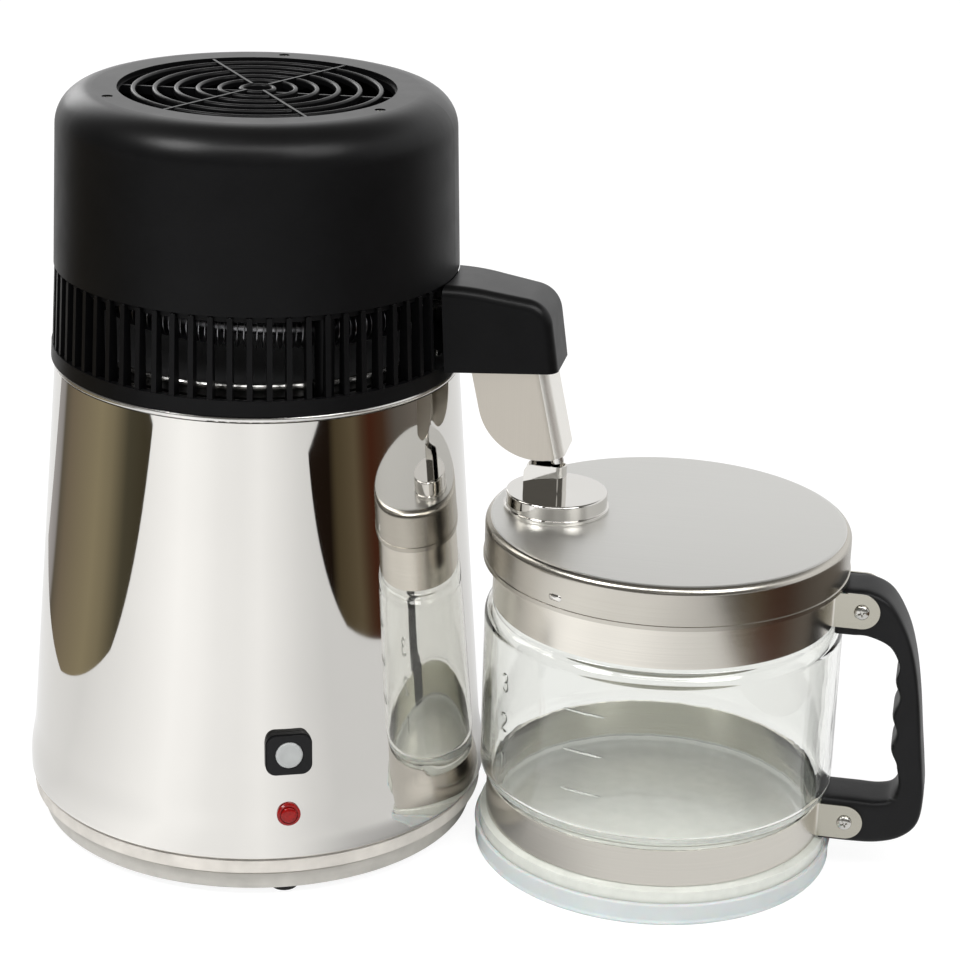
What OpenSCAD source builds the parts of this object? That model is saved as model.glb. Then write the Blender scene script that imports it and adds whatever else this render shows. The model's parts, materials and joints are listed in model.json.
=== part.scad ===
// Countertop water distiller: a steel boiler base, a lift-off fan head and a glass carafe under its spout.
// Millimetres. The origin is on the boiler's axis at counter level, +Z is up and +X points to the carafe.

/* [Base] */
// Distance from the base ring's lower edge to the circle that the feet stand on
foot_inset = 10.7; // [10.5:0.1:14]
// Radius of a foot where it meets the bottom plate
foot_r = 7; // [5:0.5:7]
// Height of a foot under the bottom plate
foot_h = 4.2; // [3:0.2:6]
// Thickness of the bottom plate
plate_t = 1.6; // [1:0.2:2.4]
// How far the base ring's lower edge draws in from the shell
base_inset = 5; // [4:0.5:6]
// Height of the base ring, from its lower edge to the shell
base_h = 16.6; // [15:0.2:22]
// Height of the lower step of the base ring
base_step_h = 8.2; // [6:0.2:9]
// Width of the shadow groove between the two steps
base_groove = 1.6; // [1:0.2:2.4]
// Wall of the base ring
base_wall = 3; // [2.4:0.2:4]
// Thickness of the shelf that carries the bottom plate
base_shelf_t = 3; // [2:0.5:4]
// Number of screws that hold the bottom plate
base_screw_count = 4; // [3:1:6]
// Shank radius of a bottom plate screw
base_screw_r = 1.6; // [1.2:0.1:2]

/* [Steel shell] */
// Radius of the shell at its top
shell_top_r = 95.3; // [90:0.1:100]
// How much wider the shell is just above its lower bead
shell_flare = 15.7; // [13:0.1:18]
// Height of the shell
shell_h = 209.2; // [200:0.2:225]
// Sheet thickness of the shell
shell_wall = 0.8; // [0.6:0.1:1.2]
// Height of the bead round the shell's lower edge
bead_h = 7; // [5:0.5:9]
// How far the bead stands out
bead_step = 1; // [0.6:0.1:1.4]

/* [Boiler] */
// Distance from the inside of the boiler pot to the shell's top edge
boiler_space = 7.3; // [6.8:0.1:9]
// Inner depth of the boiler pot
boiler_depth = 164; // [150:1:168]
// Sheet thickness of the boiler pot
boiler_wall = 1; // [0.8:0.1:1.4]
// Corner radius at the bottom of the pot
boiler_corner = 8; // [5:0.5:12]
// Radius of the rolled rim
roll_r = 1.7; // [1.4:0.1:2]
// Distance from the inside of the boiler pot in to the heater ring's centre line
heater_in = 36; // [32:1:42]
// Radius of the heater tube
heater_tube_r = 4; // [3:0.5:5]
// Turn of the heater ring, in degrees
heater_turn = 320; // [280:5:330]
// Thickness of the plate that clamps the heater
clamp_t = 3; // [2:0.5:5]
// Radius of the stud under the pot
stud_r = 4; // [3:0.5:5]
// Height of the nut on the stud
nut_h = 6; // [5:0.5:7]
// Radius of the two thermal switches
thermal_r = 7; // [5:0.5:8]
// Height of the two thermal switches
thermal_h = 11; // [8:0.5:14]

/* [Panel] */
// Direction of the push button, in degrees from the spout
panel_angle = -67.4; // [-80:0.1:-55]
// Height of the push button
button_z = 75; // [72:0.5:90]
// Height of the lamp
lamp_z = 44.5; // [42:0.5:55]
// Width of the switch bezel
bezel_w = 21.5; // [20:0.5:26]
// Height of the switch bezel
bezel_h = 20; // [19:0.5:24]
// Corner radius of the switch bezel
bezel_corner = 5; // [3:0.5:6]
// How far the bezel stands out of the shell
bezel_proud = 4.5; // [3.5:0.5:6]
// Diameter of the push button
button_d = 12.5; // [11:0.5:14]
// Travel of the push button
button_travel = 2.5; // [1.5:0.5:3]
// Diameter of the lamp's flange
lamp_d = 11; // [9:0.5:12]
// Diameter of the lamp's clear cap
lamp_cap_d = 7.4; // [6:0.2:8]
// Direction of the mains inlet at the rear, in degrees from the spout
inlet_angle = 90; // [85:1:95]
// Width of the mains inlet's flange
inlet_w = 40; // [38:0.5:46]
// Height of the mains inlet's flange
inlet_h = 27; // [26:0.5:30]
// Height of the mains inlet's centre
inlet_z = 46; // [44:0.5:48]
// Direction from the mains inlet to the fan socket, in degrees
socket_turn = 26; // [24:1:40]

/* [Vent ring] */
// Height of the vent ring
vent_h = 44.9; // [40:0.1:52]
// How far the vent ring stands out past the shell's top edge
vent_step = 1.5; // [1.3:0.1:3]
// Number of rib places round the ring
rib_count = 68; // [48:4:80]
// Width of a rib
rib_w = 2.5; // [1.6:0.1:3]
// Height of the closed band under the slots
vent_band_h = 7; // [6:0.2:10]
// Wall of the closed band
vent_wall = 3; // [2.4:0.1:4]
// Radius of the posts that carry the dome
post_r = 4.5; // [4:0.5:5]

/* [Dome] */
// Height of the dome
dome_h = 81.4; // [76:0.2:92]
// How far the dome's lower edge draws in from the vent ring's
dome_inset = 2.4; // [1.4:0.1:3]
// How far the dome's side draws in up to its shoulder
dome_taper = 2.2; // [1.4:0.1:3.4]
// Radius of the shoulder
shoulder_r = 17; // [12:0.5:20]
// Wall of the dome
dome_wall = 2.4; // [2:0.1:3]
// Width of the dome's roof round the opening
roof_w = 28.3; // [27:0.1:32]
// Distance from the opening's edge to the cover screws
cover_screw_in = 7.1; // [6.6:0.1:8]
// Direction of the first cover screw, in degrees
cover_screw_angle = 95; // [90:1:100]

/* [Grille] */
// Number of rings in the grille, without the hub ring
grille_rings = 5; // [4:1:6]
// Centre radius of the hub ring
grille_hub_r = 7.5; // [6:0.5:9]
// Width of a grille ring
grille_ring_w = 2.3; // [1.8:0.1:3]
// Number of spokes
spoke_count = 6; // [4:2:8]
// Width of a spoke
spoke_w = 1.3; // [1:0.1:2]
// Depth of a spoke
spoke_depth = 6; // [4:0.5:6.5]
// Direction of the first spoke, in degrees
spoke_angle = 5; // [0:1:20]

/* [Fan] */
// Gap between the fan's blades and the opening's edge
fan_gap = 8.9; // [7:0.1:15]
// Radius of the fan's hub
fan_hub_r = 13; // [11:0.5:15]
// Height of the fan's hub
fan_hub_h = 15; // [12:0.5:15]
// Number of blades
blade_count = 5; // [3:1:7]
// Pitch of the blades, in degrees
blade_pitch = 32; // [20:1:36]
// Thickness of a blade
blade_t = 1.6; // [1.2:0.1:2]
// Radius of the fan shaft
shaft_r = 2; // [1.5:0.1:2.5]
// Radius of the fan motor
motor_r = 18; // [16:0.5:20]
// Height of the fan motor
motor_h = 13; // [11:0.5:13]

/* [Condenser] */
// Distance from the dome's lower edge to the condenser coil's centre line
coil_inset = 22.4; // [20:0.2:25]
// Number of turns of the coil
coil_turns = 2.5; // [2:0.1:2.6]
// Gap between the coil's upper end and the fan above it
fan_clear = 6.3; // [5:0.1:12]
// Height of the coil's lower end above the vent ring's lower edge
coil_rise = 30; // [26:0.5:31]
// Outer radius of the condenser, riser and outlet tubes
tube_r = 3; // [2.5:0.1:3.2]
// Wall of the riser and outlet tubes
tube_wall = 1.1; // [0.8:0.1:1.2]
// Bend radius of the tubes
tube_bend_r = 13; // [11:0.5:14]
// Distance from the coil's centre line in to the steam riser
riser_in = 34; // [32:0.5:42]

/* [Spout] */
// Gap between the shell's bead and the carafe under the spout
carafe_gap = 0.2; // [0.2:0.1:6]
// Thickness of the spout arm's sides at its end
arm_side = 1.85; // [1.5:0.05:2.5]
// How much wider the arm is at the dome, on each side
arm_flare = 4.5; // [2:0.5:6]
// Radius of the arm's rounded edges
arm_edge_r = 5.5; // [4:0.5:7]
// Fall of the arm's top from the dome to its end
arm_fall = 5.2; // [3:0.2:6]
// Rise of the arm's lower edge from the dome to its end
arm_rise = 2.8; // [1:0.2:4]
// Thickness of the arm's roof and end
arm_wall = 2.6; // [2:0.1:3]
// Slant of the shield and the outlet, in degrees
shield_slant = 12.4; // [8:0.2:14]
// Width of the steel shield
shield_w = 32; // [28:0.5:34]
// Depth of the steel shield, from its front to its open side
shield_depth = 35; // [30:0.5:37]
// Bend radius of the shield's front edges
shield_bend_r = 6; // [4:0.5:8]
// Sheet thickness of the shield
shield_t = 1.2; // [0.8:0.1:1.6]
// How far the tube's tip reaches out of the shield
tip_reach = 6.5; // [4:0.5:9]
// Gap between the tube's tip and the chute
tip_gap = 0.5; // [0.3:0.1:1]

/* [Carafe] */
// Radius of the glass body
jug_r = 85; // [83:0.5:85.4]
// Height of the glass jug
jug_h = 163.1; // [155:0.1:168]
// Thickness of the glass wall
glass_t = 4; // [3:0.2:5]
// Thickness of the glass bottom
glass_bottom_t = 6; // [5:0.5:8]
// Depth of the two grooves that take the steel bands
groove_depth = 4.4; // [3.4:0.2:5]
// Height of the neck, from the shoulder to the rim
neck_h = 41; // [39:0.5:46]
// Height of the jug's foot under the lower band
jug_foot_h = 13.4; // [12:0.2:18]
// Height of the lower steel band
lower_band_h = 18; // [16:0.5:22]
// Height of the upper steel band
upper_band_h = 19.6; // [17.5:0.1:20]
// Sheet thickness of the bands
band_t = 0.8; // [0.6:0.1:1.2]
// How far the base pad stands out past the glass
pad_step = 1.8; // [1.6:0.1:2.4]
// Height of the base pad
pad_h = 11; // [9:0.5:13]
// Thickness of the base pad's floor
pad_floor_t = 4; // [3:0.5:5]

/* [Handle] */
// Thickness of the handle across the carafe
handle_t = 26; // [22:0.5:30]
// Reach of the handle from the glass
handle_out = 44.5; // [40:0.5:48]
// Thickness of the handle's arms
handle_arm_t = 23; // [20:0.5:24]
// Height of the ridges between the fingers
finger_ridge = 2.4; // [1:0.2:3]
// Distance between the ridges
finger_pitch = 17.6; // [15:0.2:20]
// Radius of the band ears' round ends
ear_r = 8.5; // [8:0.1:8.7]
// Thickness of the band ears
ear_t = 1.2; // [0.8:0.1:1.6]
// Distance from the glass to the handle screws
ear_out = 8.5; // [7:0.5:10]
// Shank radius of the handle screws
handle_screw_r = 2; // [1.5:0.1:2.4]

/* [Carafe lid] */
// How far the lid's skirt stands out past the glass
lid_step = 0.9; // [0.6:0.1:2]
// Height of the lid's skirt
lid_h = 20.3; // [17:0.1:21]
// Sheet thickness of the lid
lid_t = 0.8; // [0.6:0.1:1.2]
// Radius of the lid's top edge
lid_edge_r = 4; // [2:0.5:6]
// Distance from the glass's side in to the lid's inlet
inlet_in = 31.5; // [30:0.5:36]
// Radius of the polished inlet disc
disc_r = 24; // [21:0.5:25]
// Height of the polished inlet disc
disc_h = 8.9; // [6:0.1:11]
// Radius of the hole under the chute
drain_r = 2.8; // [2:0.1:3]
// Height of the inlet chute
chute_h = 12.5; // [10:0.5:15]
// Length of the chute from its open side to its round end's centre
chute_len = 15.5; // [12:0.5:18]
// Sheet thickness of the chute
chute_t = 0.8; // [0.6:0.1:1]

/* [Clearances] */
// Gap between pieces that move apart
seat_gap = 0.3; // [0.2:0.05:0.4]
// Gap between fixed pieces whose curved faces meet
fit_gap = 0.15; // [0.1:0.05:0.2]
// Radial clearance of the fan shaft in its motor
shaft_gap = 0.05; // [0.03:0.01:0.08]

/* [Hidden] */
$fn = 96;

// Far enough to cut right through
past = 1;

// Heights of the base
base_z = foot_h;
shell_z = base_z + base_h;
shell_top = shell_z + shell_h;
shelf_z = base_z + plate_t;
shell_bottom_r = shell_top_r + shell_flare;
base_foot_r = shell_bottom_r - base_inset;
foot_circle_r = base_foot_r - foot_inset;
base_top_r = shell_bottom_r - 0.5;
spigot_h = bead_h + 3;
lip_w = 2.5;
shell_tilt = atan((shell_bottom_r - shell_top_r) / (shell_h - bead_h));
plate_r = base_foot_r - base_wall;
shelf_r = foot_circle_r - foot_r - 2;
foot_stem_r = 2.4;
foot_barb_r = 3.4;
foot_barb_h = 2;
foot_taper = 0.8;
base_screw_head_r = 2 * base_screw_r;
base_screw_head_h = 1.4;
base_screw_len = plate_t + base_shelf_t + 3;

// Boiler and heater
boiler_r = shell_top_r - boiler_space;
boiler_bottom = shell_top - boiler_depth;
pot_z = boiler_bottom - boiler_wall;
rim_flange_t = boiler_wall;
roll_centre_r = shell_top_r - 1.1;
rim_top = shell_top + 2 * roll_r;
heater_ring_r = boiler_r - heater_in;
heater_z = pot_z - heater_tube_r;
heater_lead = 18;
heater_lead_in = 4;
clamp_z = pot_z - 2 * heater_tube_r - clamp_t;
clamp_r = heater_ring_r + heater_tube_r + 3;
nut_z = clamp_z - nut_h;
nut_r = 1.8 * stud_r;
stud_end = nut_z - 2;
thermal_circle_r = clamp_r + thermal_r + 2;
thermal_flange_t = 1;
thermostat_angle = 60;
fuse_angle = 200;
terminal_w = 4;
terminal_t = 0.8;
terminal_h = 8;

// Panel
neck_w = bezel_w - 4.5;
neck_hgt = bezel_h - 4.5;
bezel_front = 1.2;
button_r = button_d / 2;
button_proud = 0.6;
button_dish_r = 14;
button_stem_r = 3;
button_stem_len = 6;
panel_depth = 6;
switch_w = 15;
switch_depth = 8;
lamp_neck_r = lamp_cap_d / 2 + 0.3;
holder_r = lamp_d / 2;
holder_depth = 12;
inlet_proud = 3;
inlet_body_w = 28;
inlet_body_h = 22;
inlet_body_depth = 22;
inlet_recess_w = 24.5;
inlet_recess_h = 18.5;
inlet_recess_depth = 16;
inlet_pin = [12, 2, 4];
inlet_pin_pitch = 7;
inlet_pin_drop = 1.5;
inlet_screw_r = 1.5;
inlet_screw_x = (inlet_w + inlet_body_w) / 4;
socket_w = 22;
socket_h = 15;
socket_depth = 14;
socket_hole_r = 1.8;
socket_pitch = 8;
socket_recess = 10;
socket_neck_w = socket_w - 4;
socket_neck_h = socket_h - 4;
socket_corner = 4;
socket_back = 3;
neck_corner = 1.8;
inlet_corner = 3;
inlet_back = 8;
inlet_screw_len = 10;
inlet_screw_head_r = 2.6;
inlet_screw_head_h = 1.6;
fan_inlet_proud = 2.5;
fan_inlet_back = 8;
fan_inlet_recess = 5;
fan_inlet_rise = 15;
fan_pin_r = socket_hole_r - 0.5;

// Heights and radii of the head
vent_bottom_r = shell_top_r + vent_step;
dome_bottom_r = vent_bottom_r - dome_inset;
dome_side_r = dome_bottom_r - dome_taper;
opening_r = dome_side_r - roof_w;
cover_screw_circle_r = opening_r + cover_screw_in;
vent_z = rim_top + seat_gap;
dome_z = vent_z + vent_h;
top_z = dome_z + dome_h;
gasket_z = shell_top + rim_flange_t + seat_gap;
gasket_t = vent_z - gasket_z;
gasket_r1 = boiler_r + 0.6;
gasket_w = 3.2;
lid_plate_t = 1;
flange_z = vent_z + lid_plate_t;
lid_flange_r = gasket_r1 + gasket_w + 0.4;
lid_wall_r = boiler_r - 7;
lid_rise = 10;
lid_corner = 3;
inner_flange_t = 2.2;
inner_flange_r = lid_wall_r + 1.5;
lid_screw_circle_r = (inner_flange_r + gasket_r1) / 2 - 0.4;
lid_screw_r = 1.2;
lid_screw_head_r = 2.2;
lid_screw_head_h = 1.4;
lid_screw_angle = 5;
rib_in_r = dome_bottom_r - 4;
rib_setback = 0.4;
rib_top_gap = 0.8;
top_ring_r1 = rib_in_r - 2;
top_ring_r2 = rib_in_r + 1.5;
top_ring_h = 3;
post_circle_r = top_ring_r1 - 0.6;
post_angle = 65;
ring_screw_r = 1.5;
ring_screw_head_r = 2.8;
ring_screw_head_h = 2.4;
dome_boss_h = 20;
ring_screw_reach = 12;
cover_screw_r = 1.5;
cover_head_r = 2.4;
cover_head_h = 1.4;
cover_head_sunk = 0.5;

// Grille, fan and condenser
grille_top = top_z - 0.4;
spoke_drop = 2;
spoke_rise = 0.2;
grille_seat_z = top_z - dome_wall;
grille_seat_t = 3;
grille_ring_h = 3;
grille_seat_w = 4;
grille_step = (opening_r - grille_hub_r - 7.3) / grille_rings;
pad_post_r = 5;
bracket_top = grille_top - spoke_depth - 0.6;
bracket_t = 4;
bracket_arm_w = 6;
cup_wall = 2;
cup_h = 8;
motor_top = bracket_top - 1;
motor_z = motor_top - motor_h;
fan_r = opening_r - fan_gap;
fan_top = motor_z - 1;
fan_z = fan_top - fan_hub_h;
shaft_in_motor = motor_h - 3;
blade_chord_r = 40;
blade_root = 2;
coil_r = dome_bottom_r - coil_inset;
riser_r = coil_r - riser_in;
coil_z = vent_z + coil_rise;
coil_top = fan_z - fan_clear - tube_r;
coil_pitch = (coil_top - coil_z) / coil_turns;
coil_run = 2 * tube_r;
coil_end = asin(-tube_bend_r / norm([coil_r + tube_bend_r, coil_run]))
    - atan2(coil_run, coil_r + tube_bend_r);
coil_start = coil_end - 360 * coil_turns;
riser_swing = atan2(coil_run, coil_r - tube_bend_r)
    + acos(-tube_bend_r / norm([coil_r - tube_bend_r, coil_run]));
riser_angle = coil_start + 90 - riser_swing;
riser_out = (coil_r - tube_bend_r) * sin(riser_swing) - coil_run * cos(riser_swing);
riser_foot_r = 8;
riser_foot_h = 3;
lid_plate_z = vent_z + lid_rise;
coil_steps = 24;
sleeve_len = 10;
sleeve_gap = 0.6;
coil_sides = 6;

// Spout
pad_r = jug_r + pad_step;
inlet_offset = jug_r - inlet_in;
carafe_x = shell_bottom_r + bead_step + carafe_gap + pad_r;
drip_x = carafe_x - inlet_offset;
arm_top = dome_z - 0.4;
arm_bottom = vent_z + 3.4;
arm_tip_top = arm_top - arm_fall;
arm_tip_bottom = arm_bottom + arm_rise;
arm_root = dome_bottom_r - 12;
arm_knee = arm_root + 22;
arm_corner = 2.5;
arm_lean = 9.6;
arm_nose = 2;
shield_front = 6.4;
shield_half = shield_w / 2;
arm_tip_half = shield_half + fit_gap + arm_side;
arm_half = arm_tip_half + arm_flare;
shield_corner_r = shield_depth - shield_front;
shield_grip = 12.5;
drop_bend = 90 - shield_slant;
bend_low_z = coil_z - tube_bend_r * (1 - cos(drop_bend));

// Carafe
jug_z = pad_floor_t + seat_gap;
rim_z = jug_z + jug_h;
lid_top = rim_z + seat_gap + lid_t;
skirt_z = lid_top - lid_h;
groove_r = jug_r - groove_depth;
shoulder_z = rim_z - neck_h;
lower_band_z = jug_z + jug_foot_h + 0.6;
lower_groove_top = lower_band_z + lower_band_h + 0.6;
upper_band_z = skirt_z - seat_gap - upper_band_h - 0.7;
band_r = groove_r + fit_gap + band_t;
jug_foot_r = pad_r - 2 - seat_gap;
jug_shoulder = 8;
lid_r = jug_r + lid_step;
lid_lip = 0.5;
lid_lip_h = 2.2;
seal_w = lid_r - lid_t - groove_r - seat_gap;
seal_h = 7;
disc_flange_r = disc_r + 1;
disc_flange_h = 1.8;
disc_edge_r = 1;
chute_in_r = tube_r + 0.6;
chute_out_r = chute_in_r + chute_t;
chute_corner = 4;
tip_z = lid_top + disc_h + chute_h + tip_gap + tube_r * sin(shield_slant);
drop_len = (bend_low_z - tip_z) / cos(shield_slant);
shield_top = (arm_bottom + shield_grip - tip_z) / cos(shield_slant);
shield_face = drip_x - (arm_tip_bottom - tip_z) * tan(shield_slant) + shield_front / cos(shield_slant);
arm_end = shield_face + fit_gap + arm_nose + arm_wall;
bend_x = drip_x - drop_len * sin(shield_slant) - tube_bend_r * sin(drop_bend);

// Handle
upper_ear_z = upper_band_z + upper_band_h / 2 - 1;
lower_ear_z = lower_band_z + lower_band_h / 2;
ear_y = handle_t / 2 + fit_gap;
handle_root = band_r + fit_gap;
handle_reach = jug_r + handle_out;
ear_screw_x = jug_r + ear_out;
handle_top = skirt_z - 2.6;
handle_low = lower_ear_z - handle_arm_t / 2;
handle_upper_in = handle_top - handle_arm_t;
handle_lower_in = handle_low + handle_arm_t;
grip_high = handle_upper_in - 12;
grip_low = handle_lower_in + 18;
handle_head_r = 3.6;
handle_head_h = 2.2;
handle_nut_r = 4;
handle_nut_h = 2.4;
handle_round = 0.32;
handle_steps = 5;
handle_sides = 16;

// Radius of the shell's outer face at a height
function shell_r(z) = shell_top_r + (shell_top - z) * tan(shell_tilt);
// Radius of the vent ring's outer face at a height
function vent_r(z) = vent_bottom_r + (dome_bottom_r - vent_bottom_r) * (z - vent_z) / vent_h;
// Points of an arc round c, from angle a to angle b
function arc(c, r, a, b, n = 6) = [for (i = [0:n]) let (t = a + (b - a) * i / n) c + r * [cos(t), sin(t)]];
// Point between q and r on the smooth curve through p, q, r and s
function smooth(p, q, r, s, t) = 0.5 * (2 * q + t * (r - p) + t * t * (2 * p - 5 * q + 4 * r - s)
    + t * t * t * (3 * q - p - 3 * r + s));
// Triangles of a closed tube of rings, each of the same number of sides
function tube_faces(rings, sides) = concat(
    [for (i = [0:rings - 2], k = [0:sides - 1]) let (a = i * sides + k, b = i * sides + (k + 1) % sides)
        [a, b, b + sides]],
    [for (i = [0:rings - 2], k = [0:sides - 1]) let (a = i * sides + k, b = i * sides + (k + 1) % sides)
        [a, b + sides, a + sides]],
    [for (k = [1:sides - 2]) [0, k + 1, k]],
    [for (k = [1:sides - 2]) let (e = (rings - 1) * sides) [e, e + k, e + k + 1]]);

// Turn to a direction and step out along it
module at_angle(a, r = 0, z = 0) {
    rotate([0, 0, a]) translate([r, 0, z]) children();
}

// Copies at equal turns
module spread(count, first, r = 0) {
    for (i = [0:count - 1]) at_angle(first + 360 * i / count, r) children();
}

// Frame square to the steel shell: x points out of it, z up along it
module on_shell(a, z) {
    at_angle(a, shell_r(z), z) rotate([0, -shell_tilt, 0]) children();
}

// Round bar along x, from x1 to x2
module bar(r, x1, x2) {
    translate([x1, 0, 0]) rotate([0, 90, 0]) cylinder(r = r, h = x2 - x1);
}

// Rectangle with round corners, about the origin
module round_rect(w, h, r) {
    square([w - 2 * r, h], center = true);
    square([w, h - 2 * r], center = true);
    for (x = [-1, 1], y = [-1, 1]) translate([x * (w / 2 - r), y * (h / 2 - r)]) circle(r);
}

// Block along x with a rounded section
module round_block(w, h, r, x1, x2) {
    translate([x1, 0, 0]) rotate([90, 0, 90]) linear_extrude(x2 - x1) round_rect(w, h, r);
}

// Washer-shaped ring
module ring(r1, r2, h) {
    difference() {
        cylinder(r = r2, h = h);
        translate([0, 0, -past]) cylinder(r = r1, h = h + 2 * past);
    }
}

// Pan-head screw along z, its head's seat at the origin and its shank going down
module screw(r, len, head_r, head_h) {
    translate([0, 0, -len]) cylinder(r = r, h = len);
    difference() {
        cylinder(r1 = head_r, r2 = 0.8 * head_r, h = head_h);
        for (a = [0, 90]) rotate([0, 0, a]) translate([-0.6 * head_r, -0.12 * head_r, 0.5 * head_h])
            cube([1.2 * head_r, 0.24 * head_r, head_h]);
    }
}

// Everything inside the shell's outer face, to cope flanges against
module shell_core(gap) {
    rotate_extrude() polygon([[0, shell_z], [shell_r(shell_z) + gap, shell_z],
        [shell_r(shell_top) + gap, shell_top], [0, shell_top]]);
}

module outer_shell() {
    bead_r = shell_bottom_r + bead_step;
    w = shell_wall;
    bead_z = shell_z + bead_h;
    color("gainsboro") difference() {
        rotate_extrude() polygon([[bead_r - lip_w, shell_z], [bead_r, shell_z], [bead_r, bead_z - bead_step],
            [shell_r(bead_z), bead_z], [shell_top_r, shell_top], [shell_top_r - w, shell_top],
            [shell_r(bead_z) - w, bead_z], [bead_r - w, bead_z - bead_step], [bead_r - w, shell_z + w],
            [bead_r - lip_w, shell_z + w]]);
        on_shell(panel_angle, button_z) round_block(neck_w + 2 * fit_gap, neck_hgt + 2 * fit_gap, 2, -5, 5);
        on_shell(panel_angle, lamp_z) bar(lamp_neck_r + fit_gap, -5, 5);
        on_shell(inlet_angle, inlet_z)
            round_block(inlet_body_w + 2 * fit_gap, inlet_body_h + 2 * fit_gap, 2, -9, 5);
        on_shell(inlet_angle, inlet_z) for (s = [-1, 1]) translate([0, s * inlet_screw_x, 0])
            bar(inlet_screw_r + fit_gap, -9, 5);
        on_shell(inlet_angle + socket_turn, inlet_z) round_block(socket_w - 4, socket_h - 4, 2, -5, 5);
    }
}

module base_ring() {
    step_z = base_z + base_step_h;
    spigot_r = shell_bottom_r + bead_step - lip_w - fit_gap;
    color("gainsboro") difference() {
        rotate_extrude() polygon([[plate_r + fit_gap, base_z], [base_foot_r, base_z],
            [base_foot_r + 1, step_z], [base_foot_r - 0.5, step_z], [base_foot_r - 0.5, step_z + base_groove],
            [base_top_r, step_z + base_groove + 0.5], [base_top_r, shell_z], [spigot_r, shell_z],
            [spigot_r, shell_z + spigot_h], [spigot_r - base_wall, shell_z + spigot_h],
            [spigot_r - base_wall, step_z + base_wall], [plate_r - base_wall, step_z],
            [plate_r - base_wall, shelf_z + base_shelf_t], [shelf_r, shelf_z + base_shelf_t],
            [shelf_r, shelf_z], [plate_r + fit_gap, shelf_z]]);
        spread(4, panel_angle, foot_circle_r) cylinder(r = foot_barb_r + 1, h = shell_z);
        spread(base_screw_count, panel_angle + 45, foot_circle_r)
            cylinder(r = base_screw_r + fit_gap, h = shell_z);
    }
}

module bottom_plate() {
    slot_w = 4;
    color("darkgray") translate([0, 0, base_z]) difference() {
        cylinder(r = plate_r, h = plate_t);
        spread(4, panel_angle, foot_circle_r) translate([0, 0, -past])
            cylinder(r = foot_stem_r + fit_gap, h = plate_t + 2 * past);
        spread(base_screw_count, panel_angle + 45, foot_circle_r) translate([0, 0, -past])
            cylinder(r = base_screw_r + fit_gap, h = plate_t + 2 * past);
        for (a = [0:30:330]) at_angle(a, 50, -past) translate([0, -slot_w / 2, 0])
            cube([22, slot_w, plate_t + 2 * past]);
    }
}

module foot(i) {
    color("dimgray") at_angle(panel_angle + 90 * (i - 1), foot_circle_r) {
        cylinder(r1 = foot_r - foot_taper, r2 = foot_r, h = foot_h);
        cylinder(r = foot_stem_r, h = shelf_z + foot_barb_h);
        translate([0, 0, shelf_z]) cylinder(r1 = foot_barb_r, r2 = foot_stem_r, h = foot_barb_h);
    }
}

module foot_1() { foot(1); }
module foot_2() { foot(2); }
module foot_3() { foot(3); }
module foot_4() { foot(4); }

module base_screws() {
    color("silver") spread(base_screw_count, panel_angle + 45, foot_circle_r) translate([0, 0, base_z])
        mirror([0, 0, 1]) screw(base_screw_r, base_screw_len, base_screw_head_r, base_screw_head_h);
}

module boiler() {
    w = boiler_wall;
    c = boiler_corner;
    color("silver") {
        rotate_extrude() {
            polygon(concat([[0, pot_z]],
                arc([boiler_r - c, boiler_bottom + c], c + w, -90, 0),
                [[boiler_r + w, shell_top], [roll_centre_r, shell_top],
                    [roll_centre_r, shell_top + rim_flange_t], [boiler_r, shell_top + rim_flange_t]],
                arc([boiler_r - c, boiler_bottom + c], c, 0, -90), [[0, boiler_bottom]]));
            translate([roll_centre_r, shell_top + roll_r]) circle(roll_r);
        }
        translate([0, 0, stud_end]) cylinder(r = stud_r, h = pot_z - stud_end + w / 2);
    }
}

module heater_element() {
    color("dimgray") translate([0, 0, heater_z - fit_gap / 2]) rotate([0, 0, 180 - heater_turn / 2]) {
        rotate_extrude(angle = heater_turn) translate([heater_ring_r, 0]) circle(heater_tube_r - fit_gap / 2);
        for (a = [heater_lead_in, heater_turn - heater_lead_in]) at_angle(a, heater_ring_r, -heater_lead)
            cylinder(r = heater_tube_r / 2, h = heater_lead);
    }
}

module heater_clamp() {
    lead_turn = heater_turn / 2 - heater_lead_in;
    color("lightgray") difference() {
        translate([0, 0, clamp_z]) cylinder(r = clamp_r, h = clamp_t);
        translate([0, 0, clamp_z - past]) cylinder(r = stud_r + fit_gap, h = clamp_t + 2 * past);
        for (s = [-1, 1]) at_angle(180 + s * lead_turn, heater_ring_r, clamp_z - past)
            cylinder(r = heater_tube_r / 2 + 1.5, h = clamp_t + 2 * past);
    }
}

module heater_nut() {
    color("silver") translate([0, 0, nut_z]) difference() {
        cylinder(r = nut_r, h = nut_h, $fn = 6);
        translate([0, 0, -past]) cylinder(r = stud_r + fit_gap, h = nut_h + 2 * past);
    }
}

// Disc-shaped thermal switch under the boiler, with a flange and two tabs
module thermal_switch(a) {
    at_angle(a, thermal_circle_r, pot_z) {
        translate([0, 0, -thermal_flange_t]) cylinder(r = thermal_r + 1, h = thermal_flange_t);
        translate([0, 0, -thermal_h]) cylinder(r = thermal_r, h = thermal_h - thermal_flange_t / 2);
        for (s = [-1, 1])
            translate([s * thermal_r / 2 - terminal_t / 2, -terminal_w / 2, -thermal_h - terminal_h])
                cube([terminal_t, terminal_w, terminal_h + 1]);
    }
}

module thermostat() { color("white") thermal_switch(thermostat_angle); }

module thermal_fuse() { color("saddlebrown") thermal_switch(fuse_angle); }

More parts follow.
